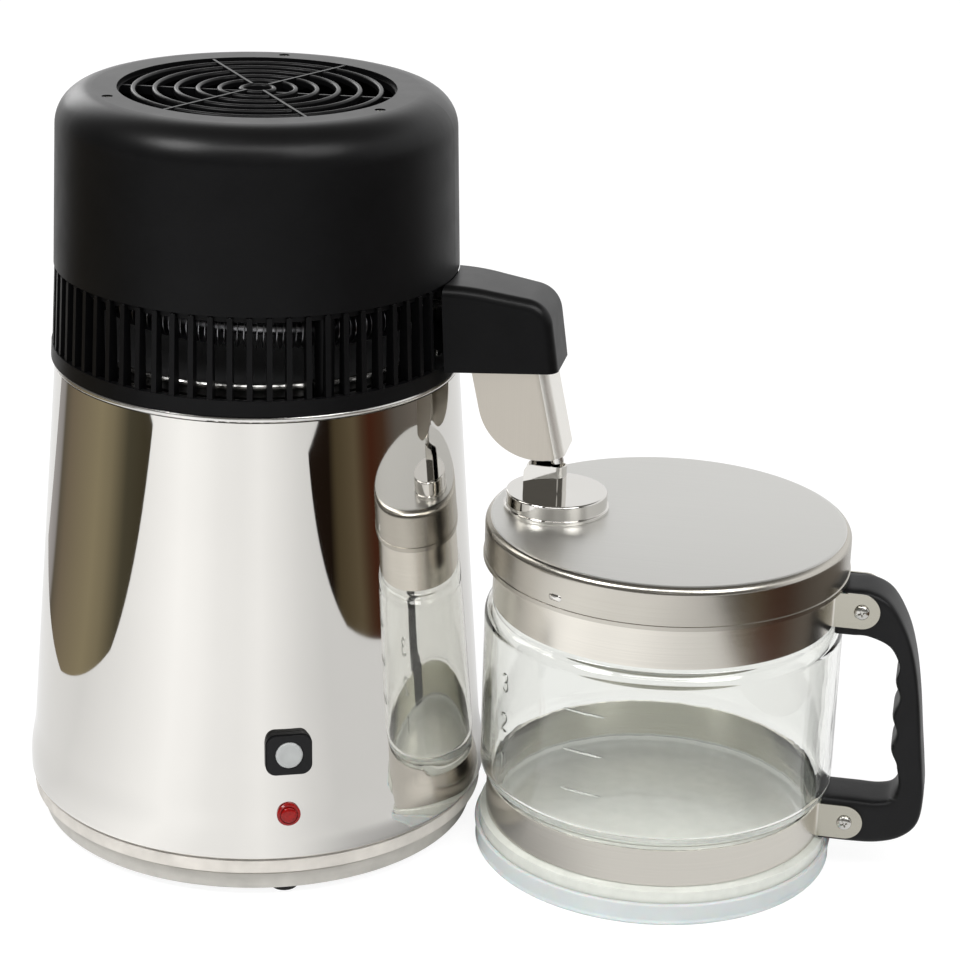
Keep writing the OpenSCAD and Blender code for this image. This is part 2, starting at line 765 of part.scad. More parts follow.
module switch_bezel() {
    color([0.08, 0.08, 0.09]) difference() {
        union() {
            difference() {
                on_shell(panel_angle, button_z) {
                    round_block(bezel_w, bezel_h, bezel_corner, -4, bezel_proud - bezel_front);
                    round_block(bezel_w - bezel_front, bezel_h - bezel_front,
                        bezel_corner - bezel_front / 2, 0, bezel_proud);
                }
                shell_core(fit_gap);
            }
            on_shell(panel_angle, button_z) round_block(neck_w, neck_hgt, neck_corner, -panel_depth, 1);
        }
        on_shell(panel_angle, button_z) bar(button_r + seat_gap, -panel_depth - past, bezel_proud + past);
    }
}

module switch_body() {
    color("dimgray") on_shell(panel_angle, button_z) difference() {
        round_block(switch_w, switch_w, 1.5, -panel_depth - switch_depth, -panel_depth);
        bar(button_stem_r + seat_gap, -panel_depth - switch_depth + 1, -panel_depth + past);
    }
}

module push_button() {
    face = bezel_proud + button_proud;
    back = button_travel + seat_gap - panel_depth;
    color("lightgray") on_shell(panel_angle, button_z) {
        difference() {
            bar(button_r, back, face);
            translate([face + button_dish_r - 0.9, 0, 0]) sphere(button_dish_r);
        }
        bar(button_stem_r, back - button_stem_len / 2 - seat_gap, back + past);
    }
}

module lamp_lens() {
    proud = 1.8;
    cap_r = lamp_cap_d / 2;
    color("crimson") {
        difference() {
            on_shell(panel_angle, lamp_z) {
                bar(lamp_d / 2, -2, proud);
                translate([proud - cap_r, 0, 0]) sphere(1.3 * cap_r);
            }
            shell_core(fit_gap);
        }
        on_shell(panel_angle, lamp_z) bar(lamp_neck_r, -panel_depth, proud - 0.5);
    }
}

module lamp_holder() {
    color("white") on_shell(panel_angle, lamp_z) {
        bar(holder_r, -panel_depth - holder_depth, -panel_depth);
        for (s = [-1, 1]) translate([-panel_depth - holder_depth - terminal_h, s * 2.5 - terminal_t / 2, -2])
            cube([terminal_h + 1, terminal_t, terminal_w]);
    }
}

module power_inlet() {
    color([0.09, 0.09, 0.1]) difference() {
        union() {
            difference() {
                on_shell(inlet_angle, inlet_z)
                    round_block(inlet_w, inlet_h, inlet_corner, -inlet_back, inlet_proud);
                shell_core(fit_gap);
            }
            on_shell(inlet_angle, inlet_z)
                round_block(inlet_body_w, inlet_body_h, neck_corner, -inlet_body_depth, 1);
        }
        on_shell(inlet_angle, inlet_z) {
            round_block(inlet_recess_w, inlet_recess_h, inlet_corner, inlet_proud - inlet_recess_depth,
                inlet_proud + past);
            for (s = [-1, 1]) translate([0, s * inlet_screw_x, 0])
                bar(inlet_screw_r + fit_gap, -inlet_back - past, inlet_proud + past);
            for (p = [-1:1]) translate([-inlet_body_depth - past,
                p * inlet_pin_pitch - inlet_pin[1] / 2 - fit_gap,
                (p == 0 ? inlet_pin_drop : -inlet_pin_drop) - inlet_pin[2] / 2 - fit_gap])
                cube([inlet_body_depth, inlet_pin[1] + 2 * fit_gap, inlet_pin[2] + 2 * fit_gap]);
        }
    }
}

module inlet_pins() {
    color("silver") on_shell(inlet_angle, inlet_z) for (p = [-1:1])
        translate([-inlet_body_depth - 3, p * inlet_pin_pitch - inlet_pin[1] / 2,
            (p == 0 ? inlet_pin_drop : -inlet_pin_drop) - inlet_pin[2] / 2])
            cube([inlet_body_depth - inlet_recess_depth + inlet_pin[0] + 3, inlet_pin[1], inlet_pin[2]]);
}

module inlet_screws() {
    color("silver") on_shell(inlet_angle, inlet_z) for (s = [-1, 1])
        translate([inlet_proud, s * inlet_screw_x, 0]) rotate([0, 90, 0])
            screw(inlet_screw_r, inlet_screw_len, inlet_screw_head_r, inlet_screw_head_h);
}

// Two-pole block let into a curved wall: socket with pin holes, or inlet with a recess
module pole_block(proud) {
    round_block(socket_w, socket_h, socket_corner, -socket_back, proud);
}

module fan_socket() {
    color([0.09, 0.09, 0.1]) difference() {
        union() {
            difference() {
                on_shell(inlet_angle + socket_turn, inlet_z) pole_block(inlet_proud);
                shell_core(fit_gap);
            }
            on_shell(inlet_angle + socket_turn, inlet_z)
                round_block(socket_neck_w - 2 * fit_gap, socket_neck_h - 2 * fit_gap, neck_corner,
                    -socket_depth, 1);
        }
        on_shell(inlet_angle + socket_turn, inlet_z) for (s = [-1, 1]) translate([0, s * socket_pitch / 2, 0])
            bar(socket_hole_r, inlet_proud - socket_recess, inlet_proud + past);
    }
}

// Outline of the dome from its axis to its outer face, drawn in by a wall
module dome_outline(wall) {
    h = dome_h - wall;
    side = dome_side_r - wall;
    r = shoulder_r - wall;
    polygon([[0, -past], [dome_bottom_r - wall, -past], [dome_bottom_r - wall, 0], [side, h - r],
        [side - r, h], [0, h]]);
    translate([side - r, h - r]) circle(r);
}

// Frame square to the dome's rear wall for the fan's power inlet
module on_dome() {
    at_angle(inlet_angle, dome_bottom_r - 0.6, dome_z + fan_inlet_rise) children();
}

module dome_core(gap) {
    translate([0, 0, dome_z]) rotate_extrude() polygon([[0, 0], [dome_bottom_r + gap, 0],
        [dome_side_r + gap, dome_h - shoulder_r], [0, dome_h - shoulder_r]]);
}

module dome_cover() {
    color([0.1, 0.1, 0.11]) difference() {
        union() {
            translate([0, 0, dome_z]) rotate_extrude() intersection() {
                difference() {
                    dome_outline(0);
                    dome_outline(dome_wall);
                }
                translate([opening_r, 0]) square([dome_bottom_r, dome_h]);
            }
            intersection() {
                spread(3, post_angle, post_circle_r) translate([0, 0, dome_z])
                    cylinder(r = post_r, h = dome_boss_h);
                dome_core(-dome_wall / 2);
            }
        }
        spread(3, post_angle, post_circle_r) translate([0, 0, dome_z - past])
            cylinder(r = ring_screw_r + fit_gap, h = ring_screw_reach + 2 * past);
        spread(3, cover_screw_angle, cover_screw_circle_r) {
            cylinder(r = cover_screw_r + fit_gap, h = top_z + past);
            translate([0, 0, top_z - cover_head_h - cover_head_sunk])
                cylinder(r = cover_head_r + fit_gap, h = cover_head_h + cover_head_sunk + past);
        }
        on_dome() round_block(socket_neck_w, socket_neck_h, neck_corner + fit_gap,
            -2 * dome_wall, 2 * dome_wall);
    }
}

module fan_grille() {
    color([0.1, 0.1, 0.11]) {
        for (i = [0:grille_rings]) let (r = grille_hub_r + i * grille_step)
            translate([0, 0, grille_top - grille_ring_h]) rotate_extrude() {
                translate([r - grille_ring_w / 2, 0])
                    square([grille_ring_w, grille_ring_h - grille_ring_w / 2]);
                translate([r, grille_ring_h - grille_ring_w / 2]) circle(grille_ring_w / 2);
            }
        for (i = [0:spoke_count - 1]) let (low = i % (spoke_count / 2) == 0)
            at_angle(spoke_angle + i * 360 / spoke_count, grille_hub_r, grille_top - spoke_depth)
                translate([0, -spoke_w / 2, 0]) cube([opening_r - grille_hub_r - seat_gap, spoke_w,
                    spoke_depth + (low ? -spoke_drop : spoke_rise)]);
        translate([0, 0, grille_seat_z - grille_seat_t])
            ring(opening_r - 0.8, opening_r + grille_seat_w, grille_seat_t);
    }
}

module cover_screws() {
    color("silver") spread(3, cover_screw_angle, cover_screw_circle_r)
        translate([0, 0, top_z - cover_head_h - cover_head_sunk])
            screw(cover_screw_r, dome_wall + 5, cover_head_r, cover_head_h);
}

module vent_ring() {
    band_top = vent_z + vent_band_h;
    rib_top = dome_z - rib_top_gap;
    arm_angle = asin(arm_half / dome_bottom_r) + 0.6;
    color([0.09, 0.09, 0.1]) difference() {
        union() {
            rotate_extrude() polygon([[vent_r(vent_z) - vent_wall, vent_z], [vent_r(vent_z), vent_z],
                [vent_r(band_top), band_top], [vent_r(band_top) - vent_wall, band_top],
                [vent_r(band_top) - vent_wall, flange_z + inner_flange_t],
                [inner_flange_r, flange_z + inner_flange_t], [inner_flange_r, flange_z],
                [vent_r(vent_z) - vent_wall, flange_z]]);
            translate([0, 0, dome_z - top_ring_h]) ring(top_ring_r1, top_ring_r2, top_ring_h);
            for (i = [0:rib_count - 1]) let (a = (i + 0.5) * 360 / rib_count, off = min(a, 360 - a))
                if (off > arm_angle) rotate([90, 0, a]) linear_extrude(rib_w, center = true)
                    polygon([[rib_in_r, band_top - 2], [vent_r(band_top) - rib_setback, band_top - 2],
                        [vent_r(rib_top) - rib_setback, rib_top], [rib_in_r, rib_top]]);
            spread(3, post_angle, post_circle_r) translate([0, 0, flange_z])
                cylinder(r = post_r, h = dome_z - flange_z);
        }
        spread(3, post_angle, post_circle_r) {
            translate([0, 0, flange_z - past]) cylinder(r = ring_screw_r + fit_gap, h = vent_h + 2 * past);
            translate([0, 0, flange_z - past]) cylinder(r = ring_screw_head_r + fit_gap,
                h = ring_screw_head_h + past);
        }
        spread(3, lid_screw_angle, lid_screw_circle_r) cylinder(r = lid_screw_r + fit_gap, h = dome_z);
    }
}

module ring_screws() {
    color("silver") spread(3, post_angle, post_circle_r) translate([0, 0, flange_z + ring_screw_head_h])
        mirror([0, 0, 1]) screw(ring_screw_r, dome_z + ring_screw_reach - flange_z - ring_screw_head_h,
            ring_screw_head_r, ring_screw_head_h);
}

// Middle of the arm's upper front edge, where its rounding starts
function arm_brow() = [arm_end - arm_edge_r
    - (arm_tip_top - arm_edge_r - arm_corner - arm_tip_bottom) * tan(arm_lean), arm_tip_top - arm_edge_r];
// Half width of the arm at a distance from the boiler's axis
function arm_half_at(x) = arm_half - arm_flare * (x - arm_root) / (arm_end - arm_root);

// Solid form of the spout arm, with its rounded top and end
module arm_form() {
    e = arm_edge_r;
    brow = arm_brow();
    hull() for (s = [-1, 1]) {
        translate([arm_root, s * (arm_half - e), arm_top - e]) sphere(e, $fn = 32);
        translate([arm_knee, s * (arm_half_at(arm_knee) - e), arm_top - e]) sphere(e, $fn = 32);
        translate([arm_root, s * (arm_half - e), arm_bottom]) cylinder(r = e, h = 1, $fn = 32);
        translate([0, s * (arm_tip_half - e), 0]) {
            translate([brow[0] - arm_corner, 0, brow[1]]) sphere(e, $fn = 32);
            translate([brow[0], 0, brow[1] - arm_corner]) sphere(e, $fn = 32);
            translate([arm_end - e, 0, arm_tip_bottom]) cylinder(r = e, h = 1, $fn = 32);
        }
    }
}

module spout_arm() {
    half = shield_half + fit_gap;
    w = arm_wall;
    brow = arm_brow();
    color([0.1, 0.1, 0.11]) difference() {
        arm_form();
        translate([0, half, 0]) rotate([90, 0, 0]) linear_extrude(2 * half) polygon([
            [arm_root - past, arm_bottom - past], [arm_root - past, arm_top - w - 1],
            [arm_knee, arm_top - w - 1], [brow[0] - w, arm_tip_top - w - 1],
            [brow[0] + arm_edge_r - w - 0.6, brow[1] - arm_corner], [arm_end - w, arm_tip_bottom],
            [arm_end - w, arm_bottom - past]]);
        rotate_extrude() polygon([[0, vent_z - past], [vent_bottom_r + fit_gap, vent_z - past],
            [vent_bottom_r + fit_gap, vent_z], [dome_bottom_r + fit_gap, dome_z],
            [dome_bottom_r + fit_gap, dome_z + past], [0, dome_z + past]]);
    }
}

// Frame at the tube's tip, leaning with the spout
module at_tip() {
    translate([drip_x, 0, tip_z]) rotate([0, -shield_slant, 0]) children();
}

// Plan of the shield's bent sheet, its front at x = shield_front
module shield_plan(inset) {
    r = shield_bend_r - inset;
    half = shield_half - inset;
    front = shield_front - inset;
    translate([-shield_depth, -half]) square([shield_depth + front - r, 2 * half]);
    translate([front - r - past, r - half]) square([r + past, 2 * (half - r)]);
    for (s = [-1, 1]) translate([front - r, s * (half - r)]) circle(r);
}

module spout_shield() {
    r = shield_corner_r;
    color("silver") at_tip() intersection() {
        linear_extrude(shield_top) difference() {
            shield_plan(0);
            shield_plan(shield_t);
        }
        translate([0, shield_half + past, 0]) rotate([90, 0, 0]) linear_extrude(shield_w + 2 * past) {
            translate([0, tip_reach + r]) circle(r);
            translate([0, tip_reach]) square([shield_front + past, shield_top]);
            translate([-r, tip_reach + r]) square([r + past, shield_top - tip_reach - r]);
        }
    }
}

// Straight length of tube along z
module tube_run(len) {
    difference() {
        cylinder(r = tube_r, h = len);
        translate([0, 0, -past]) cylinder(r = tube_r - tube_wall, h = len + 2 * past);
    }
}

// Bent length of tube, from the x axis round z
module tube_bend(turn) {
    rotate_extrude(angle = turn) translate([tube_bend_r, 0]) difference() {
        circle(tube_r);
        circle(tube_r - tube_wall);
    }
}

// From the coil's lower end to a sleeve, out along the arm and down to the tip
module outlet_tube() {
    swing = 90 + coil_end;
    run_x = coil_r * cos(coil_end) - coil_run * sin(coil_end) + tube_bend_r * sin(swing);
    half = (bend_x - run_x - sleeve_gap) / 2;
    color("silver") {
        translate([run_x, -tube_bend_r, coil_z]) rotate([0, 0, 90]) {
            tube_bend(swing);
            translate([tube_bend_r, 0, 0]) rotate([90, 0, 0]) tube_run(half);
        }
        translate([(run_x + bend_x - sleeve_len) / 2, 0, coil_z]) rotate([0, 90, 0])
            ring(tube_r - tube_wall / 2, tube_r + tube_wall, sleeve_len);
        translate([bend_x, 0, coil_z - tube_bend_r]) rotate([90, 0, 0]) rotate([0, 0, shield_slant]) {
            rotate([0, 0, drop_bend]) translate([tube_bend_r, 0, 0]) rotate([-90, 0, 0]) tube_run(half);
            tube_bend(drop_bend);
            translate([tube_bend_r, 0, 0]) rotate([90, 0, 0]) tube_run(drop_len);
        }
    }
}

// From the boiler lid up and out to the coil's upper end
module steam_riser() {
    color("silver") rotate([0, 0, riser_angle]) {
        translate([riser_r, 0, lid_plate_z]) {
            tube_run(coil_top - tube_bend_r - lid_plate_z);
            ring(tube_r - tube_wall, riser_foot_r, riser_foot_h);
        }
        translate([riser_r + tube_bend_r, 0, coil_top - tube_bend_r]) rotate([90, 0, 0]) rotate([0, 0, 90])
            tube_bend(90);
        translate([riser_r + tube_bend_r, 0, coil_top]) rotate([0, 90, 0])
            tube_run(riser_out - riser_r - tube_bend_r);
        translate([riser_out, tube_bend_r, coil_top]) rotate([0, 0, -90]) tube_bend(riser_swing);
    }
}

// Centre of the coil at an angle, and the two straight ends
function coil_point(a) = [coil_r * cos(a), coil_r * sin(a), coil_z + coil_pitch * (coil_end - a) / 360];
function coil_along(a) = [-sin(a), cos(a), 0];
coil_count = ceil(coil_turns * coil_steps);
coil_angles = [for (i = [0:coil_count]) coil_start + (coil_end - coil_start) * i / coil_count];
coil_centres = concat([coil_point(coil_start) - coil_run * coil_along(coil_start)],
    [for (a = coil_angles) coil_point(a)], [coil_point(coil_end) + coil_run * coil_along(coil_end)]);
coil_turned = concat([coil_start], coil_angles, [coil_end]);
coil_gap = min([for (i = [0:coil_count + 1], j = [0:coil_count + 1]) if (j > i + coil_steps / 2)
    norm(coil_centres[i] - coil_centres[j])]) - 2 * tube_r;
echo(least_gap_between_coil_turns = coil_gap);

module condenser_coil() {
    rings = len(coil_centres);
    color("lightgray") polyhedron([for (i = [0:rings - 1], k = [0:coil_sides - 1])
        let (t = 360 * k / coil_sides, out = [cos(coil_turned[i]), sin(coil_turned[i]), 0])
        coil_centres[i] + tube_r * (cos(t) * out + [0, 0, sin(t)])],
        tube_faces(rings, coil_sides));
}

module fan_motor() {
    color("dimgray") difference() {
        union() {
            translate([0, 0, motor_z]) cylinder(r = motor_r, h = motor_h);
            translate([0, 0, motor_top - past]) cylinder(r = motor_r / 2, h = past + 1.5);
        }
        translate([0, 0, motor_z - past]) cylinder(r = shaft_r + shaft_gap, h = shaft_in_motor + past + 0.5);
    }
}

module fan_bracket() {
    cup_r = motor_r + fit_gap + cup_wall;
    color([0.12, 0.12, 0.13]) difference() {
        union() {
            translate([0, 0, bracket_top - cup_h]) ring(motor_r + fit_gap, cup_r, cup_h);
            spread(3, cover_screw_angle) translate([cup_r - 1, -bracket_arm_w / 2, bracket_top - bracket_t])
                cube([cover_screw_circle_r - cup_r, bracket_arm_w, bracket_t]);
            spread(3, cover_screw_angle, cover_screw_circle_r) translate([0, 0, bracket_top - bracket_t])
                cylinder(r = pad_post_r - 2, h = grille_seat_z - bracket_top + bracket_t);
        }
        spread(3, cover_screw_angle, cover_screw_circle_r) translate([0, 0, bracket_top - bracket_t - past])
            cylinder(r = cover_screw_r + fit_gap, h = dome_h);
    }
}

module fan_inlet() {
    color([0.09, 0.09, 0.1]) difference() {
        union() {
            difference() {
                on_dome() pole_block(fan_inlet_proud);
                dome_core(fit_gap);
            }
            on_dome() round_block(socket_neck_w - 2 * fit_gap, socket_neck_h - 2 * fit_gap, neck_corner,
                -fan_inlet_back, 0.5);
        }
        on_dome() round_block(socket_neck_w - 3, socket_neck_h - 4, inlet_corner, -fan_inlet_recess,
            fan_inlet_proud + past);
        on_dome() for (s = [-1, 1]) translate([0, s * socket_pitch / 2, 0])
            bar(fan_pin_r + fit_gap, -fan_inlet_back - past, past);
    }
}

module fan_inlet_pins() {
    color("silver") on_dome() for (s = [-1, 1]) translate([0, s * socket_pitch / 2, 0])
        bar(fan_pin_r, -fan_inlet_back - 2, 1);
}

module boiler_lid() {
    t = lid_plate_t;
    c = lid_corner;
    top = lid_plate_z;
    color("silver") difference() {
        rotate_extrude() polygon(concat([[0, top - t], [0, top]], arc([lid_wall_r - c, top - c], c, 90, 0),
            [[lid_wall_r, vent_z + t], [lid_flange_r, vent_z + t], [lid_flange_r, vent_z],
                [lid_wall_r - t, vent_z]],
            arc([lid_wall_r - c, top - c], c - t, 0, 90)));
        at_angle(riser_angle, riser_r) cylinder(r = tube_r - tube_wall, h = top + past);
        spread(3, lid_screw_angle, lid_screw_circle_r) cylinder(r = lid_screw_r + fit_gap, h = top);
    }
}

module lid_gasket() {
    color("whitesmoke") translate([0, 0, gasket_z]) ring(gasket_r1, gasket_r1 + gasket_w, gasket_t);
}

module lid_screws() {
    color("silver") spread(3, lid_screw_angle, lid_screw_circle_r)
        translate([0, 0, flange_z + inner_flange_t])
            screw(lid_screw_r, inner_flange_t + lid_plate_t, lid_screw_head_r, lid_screw_head_h);
}

// One blade: an arched strip along a radius, pitched and trimmed to the fan's circle
module blade() {
    chord = fan_hub_h / sin(blade_pitch) * 0.84;
    intersection() {
        ring(fan_hub_r - blade_root, fan_r, fan_hub_h);
        translate([0, 0, fan_hub_h / 2]) rotate([blade_pitch, 0, 0]) rotate([90, 0, 90])
            linear_extrude(fan_r + past) intersection() {
                translate([0, -blade_chord_r]) difference() {
                    circle(blade_chord_r + blade_t / 2);
                    circle(blade_chord_r - blade_t / 2);
                }
                translate([-chord / 2, -chord / 2]) square(chord);
            }
    }
}

module fan_rotor() {
    color([0.13, 0.13, 0.14]) translate([0, 0, fan_z]) difference() {
        union() {
            cylinder(r = fan_hub_r, h = fan_hub_h);
            spread(blade_count, 20) blade();
        }
        translate([0, 0, -past]) cylinder(r = shaft_r + shaft_gap / 2, h = fan_hub_h + 2 * past);
    }
}

module fan_shaft() {
    nose = 2;
    color("silver") translate([0, 0, fan_z - nose])
        cylinder(r = shaft_r, h = motor_z + shaft_in_motor - fan_z + nose);
}

module at_carafe() {
    translate([carafe_x, 0, 0]) children();
}

module glass_jug() {
    g = glass_t;
    s = jug_shoulder;
    low = lower_groove_top;
    inner_foot = 6;
    neck_in = groove_r - g + 0.4;
    bottom_in = jug_z + glass_bottom_t;
    color([0.8, 0.88, 0.86, 0.4]) at_carafe() rotate_extrude() polygon(concat(
        [[0, jug_z]], arc([jug_foot_r - 4, jug_z + 4], 4, -90, 0),
        [[jug_foot_r, lower_band_z - 2.6], [groove_r, lower_band_z - 0.6], [groove_r, low]],
        arc([jug_r - s, low + s], s, -60, 0),
        arc([jug_r - s, shoulder_z - s], s, 0, 60), [[groove_r, shoulder_z]],
        arc([groove_r - 1.5, rim_z - 1.5], 1.5, 0, 90, 4), arc([neck_in + 1.5, rim_z - 1.5], 1.5, 90, 180, 4),
        [[neck_in, shoulder_z + 1]], arc([jug_r - s, shoulder_z - s], s - g, 60, 0),
        arc([jug_r - s, low + s], s - g, 0, -60), [[neck_in, low]],
        arc([neck_in - inner_foot, bottom_in + inner_foot], inner_foot, 0, -90), [[0, bottom_in]]));
}

// Steel band round the jug, whose two ends turn out into ears on both sides of the handle
module band(z, h, ear_z) {
    ear_x = band_r * cos(asin((ear_y + ear_t) / band_r)) - band_t / 2;
    color("silver") at_carafe() difference() {
        union() {
            difference() {
                translate([0, 0, z]) ring(band_r - band_t, band_r, h);
                translate([0, -ear_y, z - past]) cube([2 * band_r, 2 * ear_y, h + 2 * past]);
            }
            for (s = [-1, 1]) translate([0, s * (ear_y + ear_t / 2), ear_z]) rotate([90, 0, 0])
                linear_extrude(ear_t, center = true) {
                    translate([ear_screw_x, 0]) circle(ear_r);
                    translate([ear_x, -ear_r]) square([ear_screw_x - ear_x, 2 * ear_r]);
                }
        }
        translate([ear_screw_x, 0, ear_z]) rotate([90, 0, 0])
            cylinder(r = handle_screw_r + fit_gap, h = 3 * ear_y, center = true);
    }
}

module upper_band() { band(upper_band_z, upper_band_h, upper_ear_z); }

module lower_band() { band(lower_band_z, lower_band_h, lower_ear_z); }

// Stations along the handle, each an outer and an inner point, from its upper root to its lower root
handle_stations = let (x = handle_reach, t = handle_top, b = handle_low, u = handle_upper_in,
    v = handle_lower_in) [
    [[handle_root, t], [handle_root, u]],
    [[handle_root + 6, t + 0.2], [handle_root + 8, u]],
    [[x - 32, t], [x - 32, u]],
    [[x - 22.5, t - 5], [x - 22, u - 4]],
    [[x - 14.5, t - 18], [x - 17, u - 12]],
    [[x - 9.4, t - 33.5], [x - 15.5, u - 20]],
    [[x - 5.8, (t + b) / 2 + 12], [x - 15.5, (u + v) / 2 + 8]],
    [[x - 3.2, (t + b) / 2 - 9], [x - 15.5, (u + v) / 2 - 7]],
    [[x - 1.2, b + 40], [x - 14, v + 20]],
    [[x, b + 26], [x - 12.5, v + 10]],
    [[x - 1.8, b + 13], [x - 15, v + 2.5]],
    [[x - 9, b + 5], [x - 22, v]],
    [[x - 20, b + 1], [x - 32, v]],
    [[x - 33, b], [handle_root + 8, v]],
    [[handle_root, b], [handle_root, v]]];

// How far the grip swells inwards at a height, in ridges between the fingers
function finger(z) = z > grip_high || z < grip_low ? 0
    : finger_ridge * (1 - cos(360 * (grip_high - z) / finger_pitch)) / 2;
// Round-cornered section through the handle between an outer and an inner point
function square_cos(a) = sign(cos(a)) * pow(abs(cos(a)), handle_round);
function square_sin(a) = sign(sin(a)) * pow(abs(sin(a)), handle_round);
function handle_ring(p) = let (o = p[0], n = p[1] - [finger(p[1][1]), 0], m = (o + n) / 2, h = (o - n) / 2)
    [for (k = [0:handle_sides - 1]) let (a = 360 * (k + 0.5) / handle_sides, q = m + square_cos(a) * h)
        [q[0], square_sin(a) * handle_t / 2 / square_sin(360 * 3.5 / handle_sides), q[1]]];

module handle() {
    last = len(handle_stations) - 1;
    sections = concat([for (i = [0:last - 1], j = [0:handle_steps - 1])
        smooth(handle_stations[max(i - 1, 0)], handle_stations[i], handle_stations[i + 1],
            handle_stations[min(i + 2, last)], j / handle_steps)], [handle_stations[last]]);
    color([0.1, 0.1, 0.11]) at_carafe() difference() {
        polyhedron([for (p = sections, q = handle_ring(p)) q], tube_faces(len(sections), handle_sides));
        for (z = [upper_ear_z, lower_ear_z]) translate([ear_screw_x, 0, z]) rotate([90, 0, 0])
            cylinder(r = handle_screw_r + fit_gap, h = 2 * handle_t, center = true);
        translate([0, 0, lower_groove_top - seat_gap])
            cylinder(r = jug_r + seat_gap, h = shoulder_z - lower_groove_top + 2 * seat_gap);
        cylinder(r = jug_foot_r + seat_gap, h = lower_band_z);
    }
}

module handle_screws() {
    color("silver") at_carafe() for (z = [upper_ear_z, lower_ear_z])
        translate([ear_screw_x, -ear_y - ear_t, z]) rotate([90, 0, 0])
            screw(handle_screw_r, 2 * (ear_y + ear_t) + handle_nut_h, handle_head_r, handle_head_h);
}

module handle_nuts() {
    color("silver") at_carafe() for (z = [upper_ear_z, lower_ear_z])
        translate([ear_screw_x, ear_y + ear_t + handle_nut_h, z]) rotate([90, 0, 0]) difference() {
            cylinder(r = handle_nut_r, h = handle_nut_h, $fn = 6);
            translate([0, 0, -past]) cylinder(r = handle_screw_r + fit_gap, h = handle_nut_h + 2 * past);
        }
}

module base_pad() {
    bead = 1.2;
    pad_fillet = 2;
    color("white") at_carafe() rotate_extrude() polygon([[0, 0], [pad_r - bead, 0], [pad_r - 0.4, bead],
        [pad_r - bead, 2 * bead], [pad_r, pad_h - bead / 2], [pad_r - bead / 2, pad_h],
        [jug_foot_r + seat_gap, pad_h], [jug_foot_r + seat_gap, pad_floor_t + pad_fillet],
        [jug_foot_r - pad_fillet, pad_floor_t], [0, pad_floor_t]]);
}

module carafe_lid() {
    e = lid_edge_r;
    t = lid_t;
    lip_r = lid_r + lid_lip;
    color("silver") at_carafe() difference() {
        rotate_extrude() polygon(concat([[0, lid_top - t], [0, lid_top]],
            arc([lid_r - e, lid_top - e], e, 90, 0),
            [[lid_r, skirt_z + lid_lip_h], [lip_r, skirt_z + lid_lip_h / 2], [lip_r, skirt_z],
                [lip_r - t, skirt_z], [lid_r - t, skirt_z + lid_lip_h]],
            arc([lid_r - e, lid_top - e], e - t, 0, 90)));
        translate([-inlet_offset, 0, skirt_z]) cylinder(r = drain_r, h = lid_h + past);
    }
}

module lid_seal() {
    color("whitesmoke") at_carafe() translate([0, 0, lid_top - lid_t - lid_edge_r - seal_h + 1])
        ring(lid_r - lid_t - seal_w, lid_r - lid_t - fit_gap, seal_h);
}

// The inlet's own axis on the lid
module at_inlet() {
    translate([drip_x, 0, lid_top]) children();
}

module inlet_disc() {
    color("gainsboro") at_inlet() difference() {
        rotate_extrude() polygon(concat(
            [[0, 0], [disc_flange_r, 0], [disc_flange_r, disc_flange_h], [disc_r, disc_flange_h]],
            arc([disc_r - disc_edge_r, disc_h - disc_edge_r], disc_edge_r, 0, 90, 4), [[0, disc_h]]));
        translate([0, 0, -past]) cylinder(r = drain_r, h = disc_h + 2 * past);
    }
}

module chute_plan(r, len) {
    circle(r);
    translate([-len, -r]) square([len, 2 * r]);
}

module inlet_chute() {
    c = chute_corner;
    color("gainsboro") at_inlet() translate([0, 0, disc_h]) intersection() {
        linear_extrude(chute_h) difference() {
            chute_plan(chute_out_r, chute_len);
            chute_plan(chute_in_r, chute_len + past);
        }
        translate([0, 2 * chute_out_r, 0]) rotate([90, 0, 0]) linear_extrude(4 * chute_out_r) {
            translate([-chute_len, 0]) square([chute_len + 2 * chute_out_r, chute_h - c]);
            translate([c - chute_len, 0]) square([chute_len + 2 * chute_out_r - c, chute_h]);
            translate([c - chute_len, chute_h - c]) circle(c);
        }
    }
}

outer_shell();
base_ring();
bottom_plate();
foot_1();
foot_2();
foot_3();
foot_4();
base_screws();
boiler();
heater_element();
heater_clamp();
heater_nut();
thermostat();
thermal_fuse();
switch_bezel();
switch_body();
push_button();
lamp_lens();
lamp_holder();
power_inlet();
inlet_pins();
inlet_screws();
fan_socket();
dome_cover();
fan_grille();
cover_screws();
vent_ring();
ring_screws();
spout_arm();
spout_shield();
outlet_tube();
condenser_coil();
steam_riser();
fan_motor();
fan_bracket();
fan_inlet();
fan_inlet_pins();
boiler_lid();
lid_gasket();
lid_screws();
fan_rotor();
fan_shaft();
glass_jug();
upper_band();
lower_band();
handle();
handle_screws();
handle_nuts();
base_pad();
carafe_lid();
lid_seal();
inlet_disc();
inlet_chute();
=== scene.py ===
"""Countertop water distiller: polished boiler shell, black fan head with spout, and a glass carafe."""
import json
import math

import bmesh
import bpy
from mathutils import Matrix, Vector


